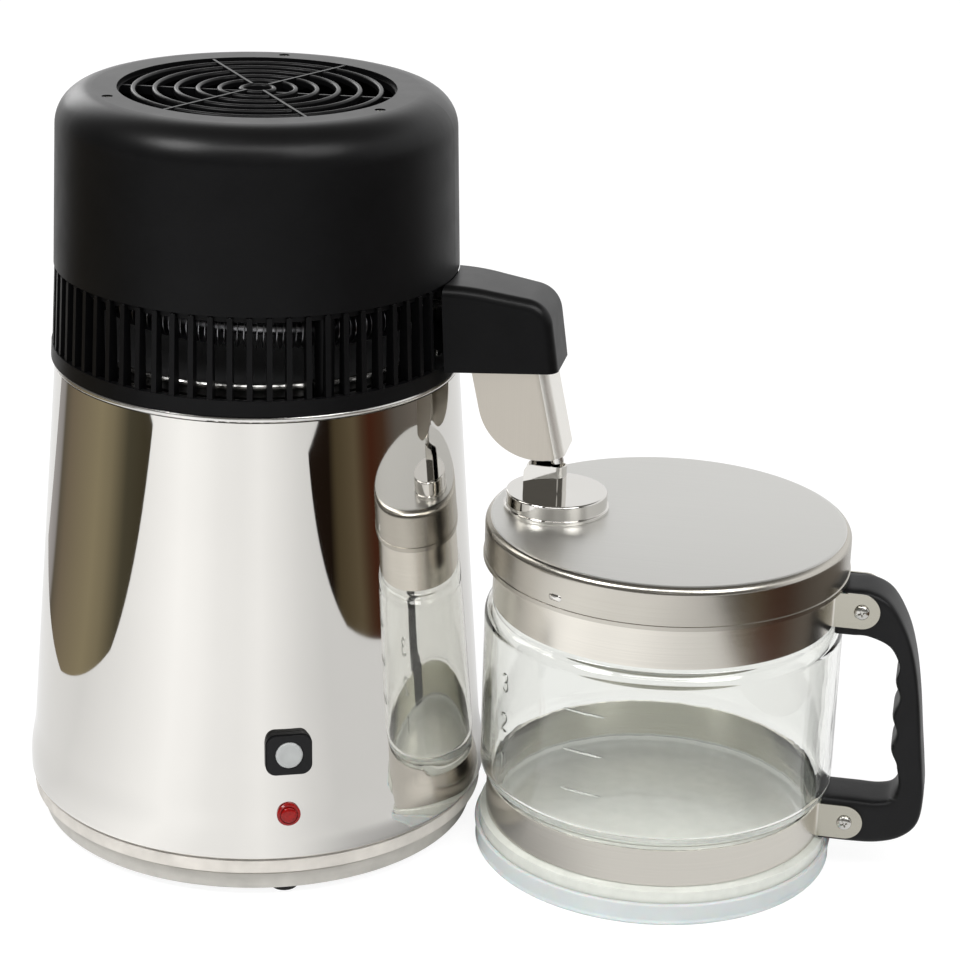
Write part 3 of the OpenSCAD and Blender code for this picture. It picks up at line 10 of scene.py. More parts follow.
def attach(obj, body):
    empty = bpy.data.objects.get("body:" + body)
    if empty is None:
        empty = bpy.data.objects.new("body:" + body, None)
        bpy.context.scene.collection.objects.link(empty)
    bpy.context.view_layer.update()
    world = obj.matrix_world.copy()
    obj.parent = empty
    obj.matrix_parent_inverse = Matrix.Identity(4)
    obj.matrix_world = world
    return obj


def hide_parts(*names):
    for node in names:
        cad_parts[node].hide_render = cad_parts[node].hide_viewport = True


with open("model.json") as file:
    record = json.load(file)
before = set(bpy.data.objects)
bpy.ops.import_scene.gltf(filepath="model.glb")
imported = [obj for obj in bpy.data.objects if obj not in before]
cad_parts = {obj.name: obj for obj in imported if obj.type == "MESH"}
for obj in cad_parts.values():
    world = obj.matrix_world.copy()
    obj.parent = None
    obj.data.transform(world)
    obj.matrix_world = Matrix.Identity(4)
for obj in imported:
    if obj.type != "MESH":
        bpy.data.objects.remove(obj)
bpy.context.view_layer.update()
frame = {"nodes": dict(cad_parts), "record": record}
NODES = frame["nodes"]
MM = 0.001

# Sizes of the part in millimetres, as the solids have them
CARAFE_X = 199.0
DRIP_X = 145.5
SHELL_BOTTOM_R = 111.0
SHELL_TOP_R = 95.3
SHELL_Z = 20.8
SHELL_TOP = 230.0
BASE_Z = 4.2
VENT_Z = 233.7
DOME_Z = 278.6
DOME_R = 94.4
VENT_R = 96.8


def operator(operation, swapped=False):
    """A method that makes one Math node of a value and another one."""
    def method(self, other):
        return self.maths(operation, *((other, self) if swapped else (self, other)))
    return method


class Value:
    """A shader socket that turns Python arithmetic into Math nodes."""

    __add__ = __radd__ = operator("ADD")
    __mul__ = __rmul__ = operator("MULTIPLY")
    __sub__ = operator("SUBTRACT")
    __rsub__ = operator("SUBTRACT", swapped=True)
    __truediv__ = operator("DIVIDE")
    __rtruediv__ = operator("DIVIDE", swapped=True)
    __gt__ = operator("GREATER_THAN")
    __lt__ = operator("LESS_THAN")
    most = operator("MAXIMUM")

    def __init__(self, finish, socket):
        self.finish = finish
        self.socket = socket

    def maths(self, operation, *values):
        return self.finish.add("ShaderNodeMath", {"operation": operation}, values)


class Finish:
    """A material: fixed values on its shader, and maps on the sockets that change over the surface."""

    def __init__(self, name, **fixed):
        self.material = bpy.data.materials.new(name)
        self.material.use_nodes = True
        self.tree = self.material.node_tree
        self.shader = self.tree.nodes["Principled BSDF"]
        for key, value in fixed.items():
            self.shader.inputs[key.replace("_", " ")].default_value = value

    def add(self, kind, settings=None, inputs=(), out=0):
        """One node of any kind: its settings first, then the values or links of its sockets."""
        node = self.tree.nodes.new(kind)
        for key, value in (settings or {}).items():
            if key == "stops":
                ramp = node.color_ramp
                while len(ramp.elements) < len(value):
                    ramp.elements.new(0.5)
                for element, (place, colour) in zip(ramp.elements, value):
                    element.position = place
                    element.color = (*colour, 1)
            else:
                setattr(node, key, value)
        for key, value in inputs.items() if isinstance(inputs, dict) else enumerate(inputs):
            self.wire(node.inputs[key], value)
        return Value(self, node.outputs[out])

    def wire(self, socket, value):
        if isinstance(value, Value):
            self.tree.links.new(value.socket, socket)
        else:
            socket.default_value = value

    def feed(self, socket, value):
        self.wire(self.shader.inputs[socket], value)

    def place(self):
        """Object coordinates, in metres in the part's own frame."""
        return self.add("ShaderNodeTexCoord", out="Object")

    def split(self, vector):
        """The three parts of a vector as values."""
        parts = self.add("ShaderNodeSeparateXYZ", {}, (vector,))
        return [Value(self, out) for out in parts.socket.node.outputs]

    def axes(self):
        """The three Object coordinates as values."""
        return self.split(self.place())

    def facing(self, axis=2):
        """How far the surface faces along an axis, from -1 to 1."""
        return self.split(self.add("ShaderNodeNewGeometry", out="Normal"))[axis]

    def mixed(self, factor, first, second):
        """The second colour where the factor is one."""
        return self.add("ShaderNodeMix", {"data_type": "RGBA"}, {0: factor, 6: first, 7: second}, 2)

    def grain(self, per_metre, detail=3.0, rough=0.55):
        """Noise with features per metre along x, y and z."""
        scale = per_metre if isinstance(per_metre, tuple) else (per_metre,) * 3
        spot = self.add("ShaderNodeMapping", {"vector_type": "POINT"},
                        {"Vector": self.place(), "Scale": scale})
        return self.add("ShaderNodeTexNoise", {"normalize": True},
                        {"Vector": spot, "Scale": 1.0, "Detail": detail, "Roughness": rough})

    def eased(self, value, low, high):
        """A smooth step of the value, from zero at low to one at high."""
        return self.add("ShaderNodeMapRange", {"interpolation_type": "SMOOTHSTEP"},
                        {"Value": value, "From Min": low, "From Max": high})

    def ramp(self, factor, *stops):
        return self.add("ShaderNodeValToRGB", {"stops": stops}, {"Fac": factor})

    def bump(self, height, depth, strength=1.0):
        self.feed("Normal", self.add("ShaderNodeBump", {},
                                     {"Strength": strength, "Distance": depth, "Height": height}))


def shade(colour, factor):
    return tuple(min(1.0, c * factor) for c in colour)


def wandering(finish, grain, spread, colour):
    """Colour that wanders a little with the grain, darker and lighter."""
    return finish.ramp(grain, (0.3, shade(colour, 1 - spread)), (0.7, shade(colour, 1 + spread)))


def toned(finish, grain, spread, colour, *others):
    """Wandering colour, with another one wherever its factor is one."""
    tone = wandering(finish, grain, spread, colour)
    for where, other in others:
        tone = finish.mixed(where, tone, wandering(finish, grain, spread, other))
    finish.feed("Base Color", tone)


def speckled(finish, colour, per_metre, spread):
    """One wandering colour all over."""
    toned(finish, finish.grain(per_metre), spread, colour)


# Flow marks of moulded plastic per metre, and how far they lighten and darken it
MOULD_MARKS = 60
MOULD_SPREAD = 0.12


def moulded(name, colour, roughness, specular=0.5, grain_mm=0.45, depth_mm=0.012, rubbed=0.0):
    """Moulded plastic or rubber with a fine eroded grain, rubbed smoother where it faces up.

    Without a colour, it is toned afterwards.
    """
    finish = Finish(name, Specular_IOR_Level=specular, Coat_Roughness=0.30)
    if colour:
        speckled(finish, colour, MOULD_MARKS, MOULD_SPREAD)
    finish.feed("Roughness", finish.grain(90) * 0.12 + (roughness - 0.06))
    finish.feed("Coat Weight", finish.facing().most(0) * rubbed)
    finish.bump(finish.grain(1 / (grain_mm * MM), 2), depth_mm * MM)
    return finish


def polished(name, colour, roughness):
    """Mirror polish with faint wiping marks."""
    finish = Finish(name, Metallic=1.0)
    speckled(finish, colour, 14, 0.015)
    finish.feed("Roughness", finish.grain((30, 30, 5), 4) * 0.05 + (roughness - 0.02))
    return finish


def brushed(name, colour, roughness, along, smear=0.0, depth_mm=0.0012, pitch_mm=0.16):
    """Brushed steel, with fine lines along the named axes. Without a colour, it is toned afterwards."""
    finish = Finish(name, Metallic=1.0, Anisotropic=smear)
    fine = 1 / (pitch_mm * MM)
    lines = finish.lines = finish.grain(tuple(4 if axis in along else fine for axis in "xyz"), 3, 0.7)
    if colour:
        stops = (0.25, shade(colour, 0.93)), (0.75, shade(colour, 1.06))
        finish.feed("Base Color", finish.ramp(lines, *stops))
    finish.feed("Roughness", lines * 0.12 + (roughness - 0.06))
    finish.bump(lines, depth_mm * MM)
    return finish


def plain_metal(name, colour, roughness):
    """Plated or drawn metal with fine handling marks."""
    finish = Finish(name, Metallic=1.0)
    speckled(finish, colour, 120, 0.06)
    finish.feed("Roughness", finish.grain(200) * 0.16 + (roughness - 0.08))
    finish.bump(finish.grain(1500, 2), 0.004 * MM)
    return finish


def clear_glass(name):
    """Pressed glass, a little green, with slow waves left by the mould."""
    finish = Finish(name, Roughness=0.0, IOR=1.5, Transmission_Weight=1.0)
    finish.feed("Base Color", finish.ramp(finish.grain(20), (0.3, (0.905, 0.911, 0.891)),
                                          (0.7, (0.920, 0.926, 0.906))))
    finish.bump(finish.grain((60, 60, 25), 2), 0.10 * MM)
    return finish


def foot_glass_painted_light(name):
    """The thick foot and floor of the jug, pale and partly opaque: painted light that stands in for the
    light seen through the clear glass.
    """
    finish = Finish(name, IOR=1.5, Transmission_Weight=0.25, Coat_Weight=0.5, Coat_Roughness=0.02)
    # The pale colour is painted light in place of the lit pad and floor seen through the glass.
    speckled(finish, (0.74, 0.755, 0.70), 160, 0.05)
    finish.feed("Roughness", finish.grain(250) * 0.1 + 0.12)
    return finish


def milky_silicone(name):
    finish = Finish(name, Subsurface_Weight=0.35, Subsurface_Scale=0.004, IOR=1.41)
    speckled(finish, (0.555, 0.60, 0.60), 45, 0.03)
    finish.feed("Roughness", finish.grain(150) * 0.12 + 0.40)
    finish.bump(finish.grain(900, 2), 0.006 * MM)
    return finish


def red_lens(name):
    """Clear red lamp cap over a mottled diffuser."""
    finish = Finish(name, IOR=1.49, Coat_Weight=0.3, Coat_Roughness=0.03, Specular_IOR_Level=0.2,
                    Emission_Strength=0.12)
    red = finish.ramp(finish.grain(700, 2), (0.3, (0.16, 0.002, 0.002)), (0.7, (0.27, 0.004, 0.003)))
    finish.feed("Base Color", red)
    finish.feed("Emission Color", red)
    finish.feed("Roughness", finish.grain(400) * 0.1 + 0.12)
    finish.bump(finish.grain(1100, 1), 0.02 * MM)
    return finish


# Where the bands' ears begin, and the height of the base's step, below which shade is painted, in metres
EAR_X = 0.280
STEP_Z = 0.0124
# A face is taken to be level past this share of facing up
LEVEL = 0.9


def base_plastic_with_painted_shade(name):
    """Pale plastic of the base, with painted shade making it darker below its step, where the lower step
    sits back.
    """
    finish = moulded(name, None, 0.45)
    # The darker colour below the step is painted shade on the set-back lower step.
    toned(finish, finish.grain(MOULD_MARKS), MOULD_SPREAD, (0.60, 0.57, 0.525),
          (finish.axes()[2] < STEP_Z, (0.47, 0.455, 0.42)))
    return finish


def band_steel(name):
    """Brushed steel of the carafe's bands, brighter inside by painted light, and darker and warmer on the
    ears.
    """
    finish = brushed(name, None, 0.22, "xy", 0.7)
    x, y, _ = finish.axes()
    # Faces turned towards the carafe's axis get a brighter colour: painted light on the band's inside, seen
    # through the glass.
    inside = ((x - CARAFE_X * MM) * finish.facing(0) + y * finish.facing(1)) < 0
    toned(finish, finish.lines, 0.06, (0.72, 0.69, 0.63), (inside, (0.94, 0.91, 0.82)),
          (x > EAR_X, (0.53, 0.51, 0.44)))
    return finish


def shield_steel(name):
    """Steel of the spout's shield, brushed upright, with a painted highlight making it much lighter where it
    faces along x, on its bend and end.
    """
    finish = brushed(name, None, 0.36, "z")
    # The light colour on faces turned along x is a painted highlight on the shield's bend and end.
    toned(finish, finish.lines, 0.06, (0.52, 0.485, 0.43), (finish.facing(0) > 0.3, (0.94, 0.92, 0.87)))
    return finish


def smoked_steel(name):
    """Steel of the boiler's lid, with painted shade: dark and dull where it is level, for the dim inside of
    the head.
    """
    finish = Finish(name)
    # Level faces are painted near black and dull, as painted shade for the dim inside of the head.
    shaded_top = finish.facing() > LEVEL
    toned(finish, finish.grain(120), 0.06, (0.30, 0.295, 0.285), (shaded_top, (0.012, 0.012, 0.013)))
    finish.feed("Roughness", shaded_top * 0.65 + 0.20)
    finish.feed("Metallic", 1 - shaded_top)
    finish.bump(finish.grain(1500, 2), 0.004 * MM)
    return finish


# How each finish is made: those of the record's slots first, then those of single pieces
MAKING = {
    "polished_steel": (polished, (0.69, 0.675, 0.645), 0.03),
    "brushed_steel": (brushed, (0.70, 0.685, 0.655), 0.22, "xy", 0.7),
    "boiler_steel": (plain_metal, (0.70, 0.69, 0.67), 0.22),
    "black_plastic": (moulded, (0.0030, 0.0030, 0.0033), 0.40, 0.10, 0.6, 0.03, 0.50),
    "base_plastic": (base_plastic_with_painted_shade,),
    "grey_plastic": (moulded, (0.28, 0.28, 0.29), 0.50),
    "button_plastic": (moulded, (0.36, 0.37, 0.365), 0.30),
    "lamp_red": (red_lens,),
    "white_plastic": (moulded, (0.80, 0.80, 0.78), 0.40),
    "foot_rubber": (moulded, (0.012, 0.012, 0.012), 0.65, 0.3),
    "silicone": (milky_silicone,),
    "jug_glass": (clear_glass,),
    "tube_steel": (plain_metal, (0.68, 0.67, 0.65), 0.18),
    # The fins' aluminium is made far darker than bare metal: painted shade for the dim inside of the head.
    "fin_aluminium": (plain_metal, (0.30, 0.30, 0.31), 0.30),
    "heater_metal": (moulded, (0.10, 0.095, 0.09), 0.45, 0.5, 0.8),
    "screw_steel": (plain_metal, (0.66, 0.65, 0.62), 0.20),
    "pin_brass": (plain_metal, (0.72, 0.56, 0.26), 0.25),
    "sheet_steel": (brushed, (0.72, 0.715, 0.69), 0.38, "x"),
    # The skirt's steel is a darker copy of the lid's top steel: painted shade on the lid's sides.
    "skirt_steel": (brushed, (0.54, 0.515, 0.465), 0.24, "xy", 0.7),
    "foot_glass": (foot_glass_painted_light,),
    "smoked_steel": (smoked_steel,),
    "shield_steel": (shield_steel,),
    "band_steel": (band_steel,),
    "grip_black": (moulded, (0.0065, 0.0065, 0.007), 0.42, 0.22, 0.7, 0.06),
}
FINISHES = {name: make(name, *values).material for name, (make, *values) in MAKING.items()}
# Solids with a finish of their own
OWN_FINISH = {"switch_bezel": "grip_black", "spout_shield": "shield_steel", "upper_band": "band_steel",
              "lower_band": "band_steel", "boiler_lid": "smoked_steel"}


def dress_solids():
    """Gives every solid its own finish, or else that of its slot."""
    for part in frame["record"]["subparts"]:
        finish = OWN_FINISH.get(part["node"], part["material_slot"])
        for slot in NODES[part["node"]].material_slots:
            slot.material = FINISHES[finish]


def rides(piece, body, slot, *nodes):
    """A finished piece takes its finish, its body and the solids that it stands for."""
    if not piece.data.materials:
        piece.data.materials.append(FINISHES[slot])
    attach(piece, body)
    if nodes:
        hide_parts(*nodes)
    return piece


def two_tone(piece, most, some, chosen):
    """Gives the piece one finish, and another one on its chosen faces."""
    for finish in (most, some):
        piece.data.materials.append(FINISHES[finish])
    for face in piece.data.polygons:
        face.material_index = int(chosen(face))


def placed(name, data):
    """A new object in the scene."""
    thing = bpy.data.objects.new(name, data)
    bpy.context.scene.collection.objects.link(thing)
    return thing


def mesh_piece(name, points, faces, sharp_deg=35):
    """A smooth mesh from points in millimetres, creased where its faces turn sharply."""
    mesh = bpy.data.meshes.new(name)
    mesh.from_pydata([Vector(p) * MM for p in points], [], faces)
    mesh.update()
    for face in mesh.polygons:
        face.use_smooth = True
    mesh.set_sharp_from_angle(angle=math.radians(sharp_deg))
    return placed(name, mesh)


# Corners of a square, and the radius below which a point lies on its axis
SQUARE = ((-1, -1), (1, -1), (1, 1), (-1, 1))
ON_AXIS = 1e-6


def polar(r, turn, z, axis_x=0.0):
    """The point at a radius, a turn in radians and a height, round an upright axis."""
    return axis_x + r * math.cos(turn), r * math.sin(turn), z


def tube_faces(first, end, sides):
    """Quads between the rings of points that run from first to end."""
    return [(i + k, i + (k + 1) % sides, i + (k + 1) % sides + sides, i + k + sides)
            for i in range(first, end - sides, sides) for k in range(sides)]


def closed_tube(first, end, sides):
    """The faces of such a tube with its two ends, or of a prism where it has two rings."""
    ends = [tuple(range(first, first + sides))[::-1], tuple(range(end - sides, end))]
    return ends + tube_faces(first, end, sides)


def arc(centre, radius, start, end, steps=8):
    """Points of an arc, from one angle to the other."""
    turn = [math.radians(start + (end - start) * i / steps) for i in range(steps + 1)]
    return [(centre[0] + radius * math.cos(t), centre[1] + radius * math.sin(t)) for t in turn]


def rounded(outline, radius, steps=4):
    """The outline with its corners rounded, each by no more than its edges allow."""
    result = []
    count = len(outline)
    for i, corner in enumerate(outline):
        here = Vector(corner)
        before = Vector(outline[i - 1]) - here
        after = Vector(outline[(i + 1) % count]) - here
        if here.x < ON_AXIS:
            result.append(tuple(here))
            continue
        reach = min(radius, 0.45 * before.length, 0.45 * after.length)
        a = here + before.normalized() * reach
        b = here + after.normalized() * reach
        for k in range(steps + 1):
            t = k / steps
            result.append(tuple((1 - t) ** 2 * a + 2 * t * (1 - t) * here + t * t * b))
    return result


def turned(name, outline, axis_x=0.0, steps=180, sharp_deg=35, seat=None):
    """A closed outline of radius and height points, turned round an upright axis or the seat's own."""
    points, rings = [], []
    for r, z in outline:
        if r < ON_AXIS:
            rings.append([len(points)])
            points.append((axis_x, 0, z))
            continue
        rings.append(list(range(len(points), len(points) + steps)))
        points += [polar(r, 2 * math.pi * k / steps, z, axis_x) for k in range(steps)]
    faces = []
    for i, low in enumerate(rings):
        high = rings[(i + 1) % len(rings)]
        for k in range(steps):
            n = (k + 1) % steps
            if len(low) == 1 and len(high) == 1:
                continue
            if len(low) == 1:
                faces.append((low[0], high[n], high[k]))
            elif len(high) == 1:
                faces.append((low[k], low[n], high[0]))
            else:
                faces.append((low[k], low[n], high[n], high[k]))
    if seat:
        points = [seat @ Vector(p) for p in points]
    return mesh_piece(name, points, faces, sharp_deg)


def joined(name, pieces):
    """One piece from several."""
    work = bmesh.new()
    for piece in pieces:
        work.from_mesh(piece.data)
        bpy.data.objects.remove(piece)
    mesh = bpy.data.meshes.new(name)
    work.to_mesh(mesh)
    work.free()
    return placed(name, mesh)


def worked_in(piece):
    """The piece's mesh with its modifiers worked in."""
    return bpy.data.meshes.new_from_object(piece.evaluated_get(bpy.context.evaluated_depsgraph_get()))


def settled(piece, sharp_deg):
    """The piece with its modifiers worked in, and shading that leaves flat faces flat."""
    mesh = worked_in(piece)
    piece.modifiers.clear()
    piece.data = mesh
    mesh.set_sharp_from_angle(angle=math.radians(sharp_deg))
    even = piece.modifiers.new("even", "WEIGHTED_NORMAL")
    even.keep_sharp = True
    piece.data = worked_in(piece)
    piece.modifiers.clear()
    return piece


# How far cutting shapes reach past what they cut
PAST = 1.0


def carved(piece, *tools, sharp_deg=30):
    """The piece less the tools."""
    for tool in tools:
        cut = piece.modifiers.new("cut", "BOOLEAN")
        cut.operation = "DIFFERENCE"
        cut.solver = "EXACT"
        cut.object = tool
    piece = settled(piece, sharp_deg)
    for tool in tools:
        bpy.data.objects.remove(tool)
    return piece


def faced_out(piece):
    """Turns all faces of a closed piece outward."""
    work = bmesh.new()
    work.from_mesh(piece.data)
    bmesh.ops.recalc_face_normals(work, faces=work.faces)
    work.to_mesh(piece.data)
    work.free()


# Camera at the photograph's place, in millimetres and degrees
FOCAL_PX = 2680.21
FRAME_PX = 960
CAMERA_AT = (324.0, -1168.3, 625.4)
AIM = (100.0, 0.0, 170.0)
CAMERA_YAW = 0.38
CAMERA_PITCH = 0.33
CAMERA_ROLL = 1.53
SENSOR_MM = 36


def swung(one, other, degrees):
    """Two square axes, turned so that the first goes towards the second."""
    turn = math.radians(degrees)
    return one * math.cos(turn) + other * math.sin(turn), other * math.cos(turn) - one * math.sin(turn)


def place_camera():
    at = Vector(CAMERA_AT)
    ahead = (Vector(AIM) - at).normalized()
    side = ahead.cross(Vector((0, 0, 1))).normalized()
    up = side.cross(ahead)
    ahead, side = swung(ahead, side, CAMERA_YAW)
    ahead, up = swung(ahead, up, CAMERA_PITCH)
    side, up = swung(side, up, CAMERA_ROLL)
    data = bpy.data.cameras.new("camera")
    data.sensor_width = SENSOR_MM
    data.lens = FOCAL_PX / FRAME_PX * SENSOR_MM
    data.clip_end = 50
    camera = placed("camera", data)
    turned_to = Matrix((side, up, -ahead)).transposed().to_4x4()
    camera.matrix_world = Matrix.Translation(at * MM) @ turned_to
    bpy.context.scene.camera = camera


# The white sheet that the set stands on ends beside it, and the polished shell mirrors a dark studio past
# its edges. In metres and slopes: where it ends, how it flares to the front, where its back corners lie
FLOOR_HALF = 6.0
SHEET_LEFT = 0.305
LEFT_FLARE = 0.29
LEFT_BEND_Y = 0.235
LEFT_BEND = 0.33
LEFT_BACK = 0.16
LEFT_CORNER_Y = 0.24
SHEET_RIGHT = 0.480
RIGHT_BEND_Y = 0.30
RIGHT_FLARE = 0.30
RIGHT_CURVE = 0.35
RIGHT_CORNER_Y = 0.33
CORNER_SLOPE = 0.5
SHEET_DEEP = 0.87
# Share of the sheet that glows by itself, how brightly, and its level for rays that aren't mirrored
SHEET_SHARE = 0.80
SHEET_GLOW = 1.34
SHEET_SEEN = 0.84
# How bright the sheet is by the share of a turn, for mirrored rays
SHEEN = (
    (0.0, 0.68), (0.19, 0.72), (0.30, 0.65), (0.36, 0.78), (0.435, 1.0), (0.465, 0.95), (0.49, 0.86),
    (0.518, 0.83), (0.545, 0.88), (0.573, 0.77), (0.60, 0.65), (0.63, 0.56), (0.78, 0.60), (1.0, 0.68),
)
# Less light falls between body and carafe: where, how little, the weight of its length, and its soft edge
GAP_X = 0.112
GAP_SHADE = 0.25
GAP_LONG = 0.36
GAP_EDGE = (0.02, 0.10)
# Colours of the studio by the share of a turn, from behind by the left, front and right to behind again
STUDIO = (
    (0.150, (0.45, 0.43, 0.42)), (0.182, (0.34, 0.32, 0.31)), (0.192, (0.13, 0.11, 0.08)),
    (0.215, (0.20, 0.16, 0.11)), (0.290, (0.31, 0.26, 0.16)), (0.315, (0.25, 0.21, 0.13)),
    (0.345, (0.08, 0.07, 0.045)), (0.375, (0.06, 0.05, 0.03)), (0.600, (0.016, 0.010, 0.007)),
    (0.645, (0.013, 0.008, 0.005)), (0.655, (0.08, 0.06, 0.032)), (0.685, (0.13, 0.10, 0.058)),
    (0.700, (0.075, 0.04, 0.022)), (0.712, (0.065, 0.02, 0.01)), (0.735, (0.07, 0.035, 0.02)),
    (0.760, (0.12, 0.105, 0.09)), (0.800, (0.17, 0.15, 0.13)),
)
STUDIO_FRONT = (0.14, 0.135, 0.125)
# The studio is white behind a slanting line, up to where it darkens overhead
WHITE_SLANT = 0.4
WHITE_EDGE = (0.0, 0.35)
WHITE_TOP = (0.50, 0.75)
WORLD_FILL = 0.55


def seen_rays(finish):
    """One for rays that show the background, and one for those off a polished face not behind glass."""
    camera, glossy, through, passes = [
        finish.add("ShaderNodeLightPath", out=name)
        for name in ("Is Camera Ray", "Is Glossy Ray", "Is Transmission Ray", "Transmission Depth")]
    return camera.most(glossy).most(through), glossy * (passes < 0.5)


def past_sheet(x, y):
    """One where the floor lies past the sheet's left or right edge."""
    front = (0 - y).most(0)
    bend = (front - LEFT_BEND_Y).most(0)
    left = 0 - x - SHEET_LEFT - front * LEFT_FLARE - bend * LEFT_BEND - y.most(0) * LEFT_BACK
    left_near = ((0 - x - SHEET_LEFT) * CORNER_SLOPE + LEFT_CORNER_Y - y) > 0
    spread = (front - RIGHT_BEND_Y).most(0)
    right = x - SHEET_RIGHT - spread * RIGHT_FLARE - spread * spread * RIGHT_CURVE
    right_near = ((x - SHEET_RIGHT) * CORNER_SLOPE + RIGHT_CORNER_Y - y) > 0
    return ((left > 0) * left_near).most((right > 0) * right_near) * (front < SHEET_DEEP)


def white_sheet():
    """Floor that shows white and keeps shadows, with the sheet's sheen and edges for mirrored rays."""
    finish = Finish("white_sheet", Roughness=0.9, Specular_IOR_Level=0.0, Base_Color=(0.9, 0.9, 0.9, 1))
    x, y, _ = finish.axes()
    turn = x.maths("ARCTAN2", x, 0 - y) / (2 * math.pi) + 0.5
    seen, mirrored = seen_rays(finish)
    off_gap = x.maths("SQRT", (x - GAP_X) * (x - GAP_X) + y * y * GAP_LONG)
    lifted = finish.eased(off_gap, *GAP_EDGE) * (1 - GAP_SHADE) + GAP_SHADE
    sheen = finish.ramp(turn, *[(place, (level,) * 3) for place, level in SHEEN]) * lifted
    level = mirrored * (sheen - SHEET_SEEN) + SHEET_SEEN
    glow = finish.add("ShaderNodeEmission", {}, {"Color": level, "Strength": SHEET_GLOW})
    dark = finish.add("ShaderNodeEmission", {}, {"Color": finish.ramp(turn, *STUDIO), "Strength": 1.0})
    lit = Value(finish, finish.shader.outputs[0])
    sheet = finish.add("ShaderNodeMixShader", {}, {0: seen * SHEET_SHARE, 1: lit, 2: glow})
    whole = finish.add("ShaderNodeMixShader", {}, {0: past_sheet(x, y) * mirrored, 1: sheet, 2: dark})
    finish.wire(finish.tree.nodes["Material Output"].inputs["Surface"], whole)
    return finish


def lay_floor():
    corners = [(x * FLOOR_HALF, y * FLOOR_HALF, 0) for x, y in SQUARE]
    mesh = bpy.data.meshes.new("floor")
    mesh.from_pydata(corners, [], [(0, 1, 2, 3)])
    mesh.materials.append(white_sheet().material)
    floor = placed("floor", mesh)


class Sky(Finish):
    """The studio around the set: white behind it, and for mirrored rays dark in front and overhead."""

    def __init__(self):
        world = bpy.data.worlds.new("studio")
        bpy.context.scene.world = world
        world.use_nodes = True
        self.tree = world.node_tree
        self.shader = self.tree.nodes["Background"]
        x, y, z = self.split(self.add("ShaderNodeTexCoord", out="Generated"))
        behind = self.eased(y + x * WHITE_SLANT, *WHITE_EDGE) * (1 - self.eased(z, *WHITE_TOP))
        seen, mirrored = seen_rays(self)
        round_about = self.ramp(behind, (0.0, STUDIO_FRONT), (1.0, (1, 1, 1)))
        self.feed("Color", self.mixed(mirrored, (1, 1, 1, 1), round_about))
        self.feed("Strength", seen * (1 - WORLD_FILL) + WORLD_FILL)


# Lamps: place, size in metres, watts, and the strip's depth
LAMPS = {
    "key": ((-0.9, -1.1, 1.7), 0.8, 22),
    "fill": ((1.2, -0.9, 1.5), 1.0, 12),
    "strip": ((0.3, -1.0, 1.6), 1.2, 6.5, 0.3),
    "rim": ((-1.3, 1.7, 0.9), 0.8, 4),
    "front": ((0.5, -1.82, 0.92), 0.5, 0.3),
}


def hang_lamp(name, at, size, watts, deep=None):
    """A round lamp, or a strip of the given depth, aimed at the set."""
    data = bpy.data.lights.new(name, "AREA")
    data.shape = "RECTANGLE" if deep else "DISK"
    data.size = size
    if deep:
        data.size_y = deep
    data.energy = watts
    lamp = placed(name, data)
    lamp.location = at
    aim = Vector(AIM) * MM - Vector(at)
    lamp.rotation_euler = aim.to_track_quat("-Z", "Y").to_euler()


# Carafe glass
JUG_R = 85.0
JUG_Z = 4.3
RIM_Z = 167.4
GROOVE_R = 80.6
GLASS_T = 4.0
NECK_IN = 77.0
LOW_BAND_Z = 18.3
LOW_GROOVE_TOP = 36.9
SHOULDER_Z = 126.4
JUG_FOOT_R = 84.5
GLASS_FLOOR = 10.3
FOOT_ROUND = 4.0
FOOT_SLOPE = (2.6, 0.6)
GROOVE_ROUND = 0.8
SHOULDER_ROUND = 8.0
RIM_ROUND = 1.5
FLOOR_ROUND = 6.0


def blow_jug():
    s, rim, foot = SHOULDER_ROUND, RIM_ROUND, FLOOR_ROUND
    inner = s - GLASS_T
    slope = [(r, LOW_BAND_Z - drop) for r, drop in zip((JUG_FOOT_R, GROOVE_R), FOOT_SLOPE)]
    outline = [(0, JUG_Z)]
    outline += arc((JUG_FOOT_R - FOOT_ROUND, JUG_Z + FOOT_ROUND), FOOT_ROUND, -90, 0)
    outline += rounded(slope + [(GROOVE_R, LOW_GROOVE_TOP)], GROOVE_ROUND)
    outline += arc((JUG_R - s, LOW_GROOVE_TOP + s), s, -60, 0, 14)
    outline += arc((JUG_R - s, SHOULDER_Z - s), s, 0, 60, 14)
    outline += [(GROOVE_R, SHOULDER_Z)]
    outline += arc((GROOVE_R - rim, RIM_Z - rim), rim, 0, 90)
    outline += arc((NECK_IN + rim, RIM_Z - rim), rim, 90, 180)
    outline += [(NECK_IN, SHOULDER_Z + 1)]
    outline += arc((JUG_R - s, SHOULDER_Z - s), inner, 60, 0, 12)
    outline += arc((JUG_R - s, LOW_GROOVE_TOP + s), inner, 0, -60, 12)
    outline += [(NECK_IN, LOW_GROOVE_TOP)]
    outline += arc((NECK_IN - foot, GLASS_FLOOR + foot), foot, 0, -90, 10)
    outline += [(0, GLASS_FLOOR)]
    jug = turned("blown_jug", outline, CARAFE_X, 200, 50)
    # The foot and floor take the pale glass, whose colour is painted light.
    two_tone(jug, "jug_glass", "foot_glass", lambda face: face.center.z < LOW_BAND_Z * MM)
    jug.visible_shadow = False
    jug.visible_diffuse = False
    rides(jug, "carafe", "jug_glass", "glass_jug")


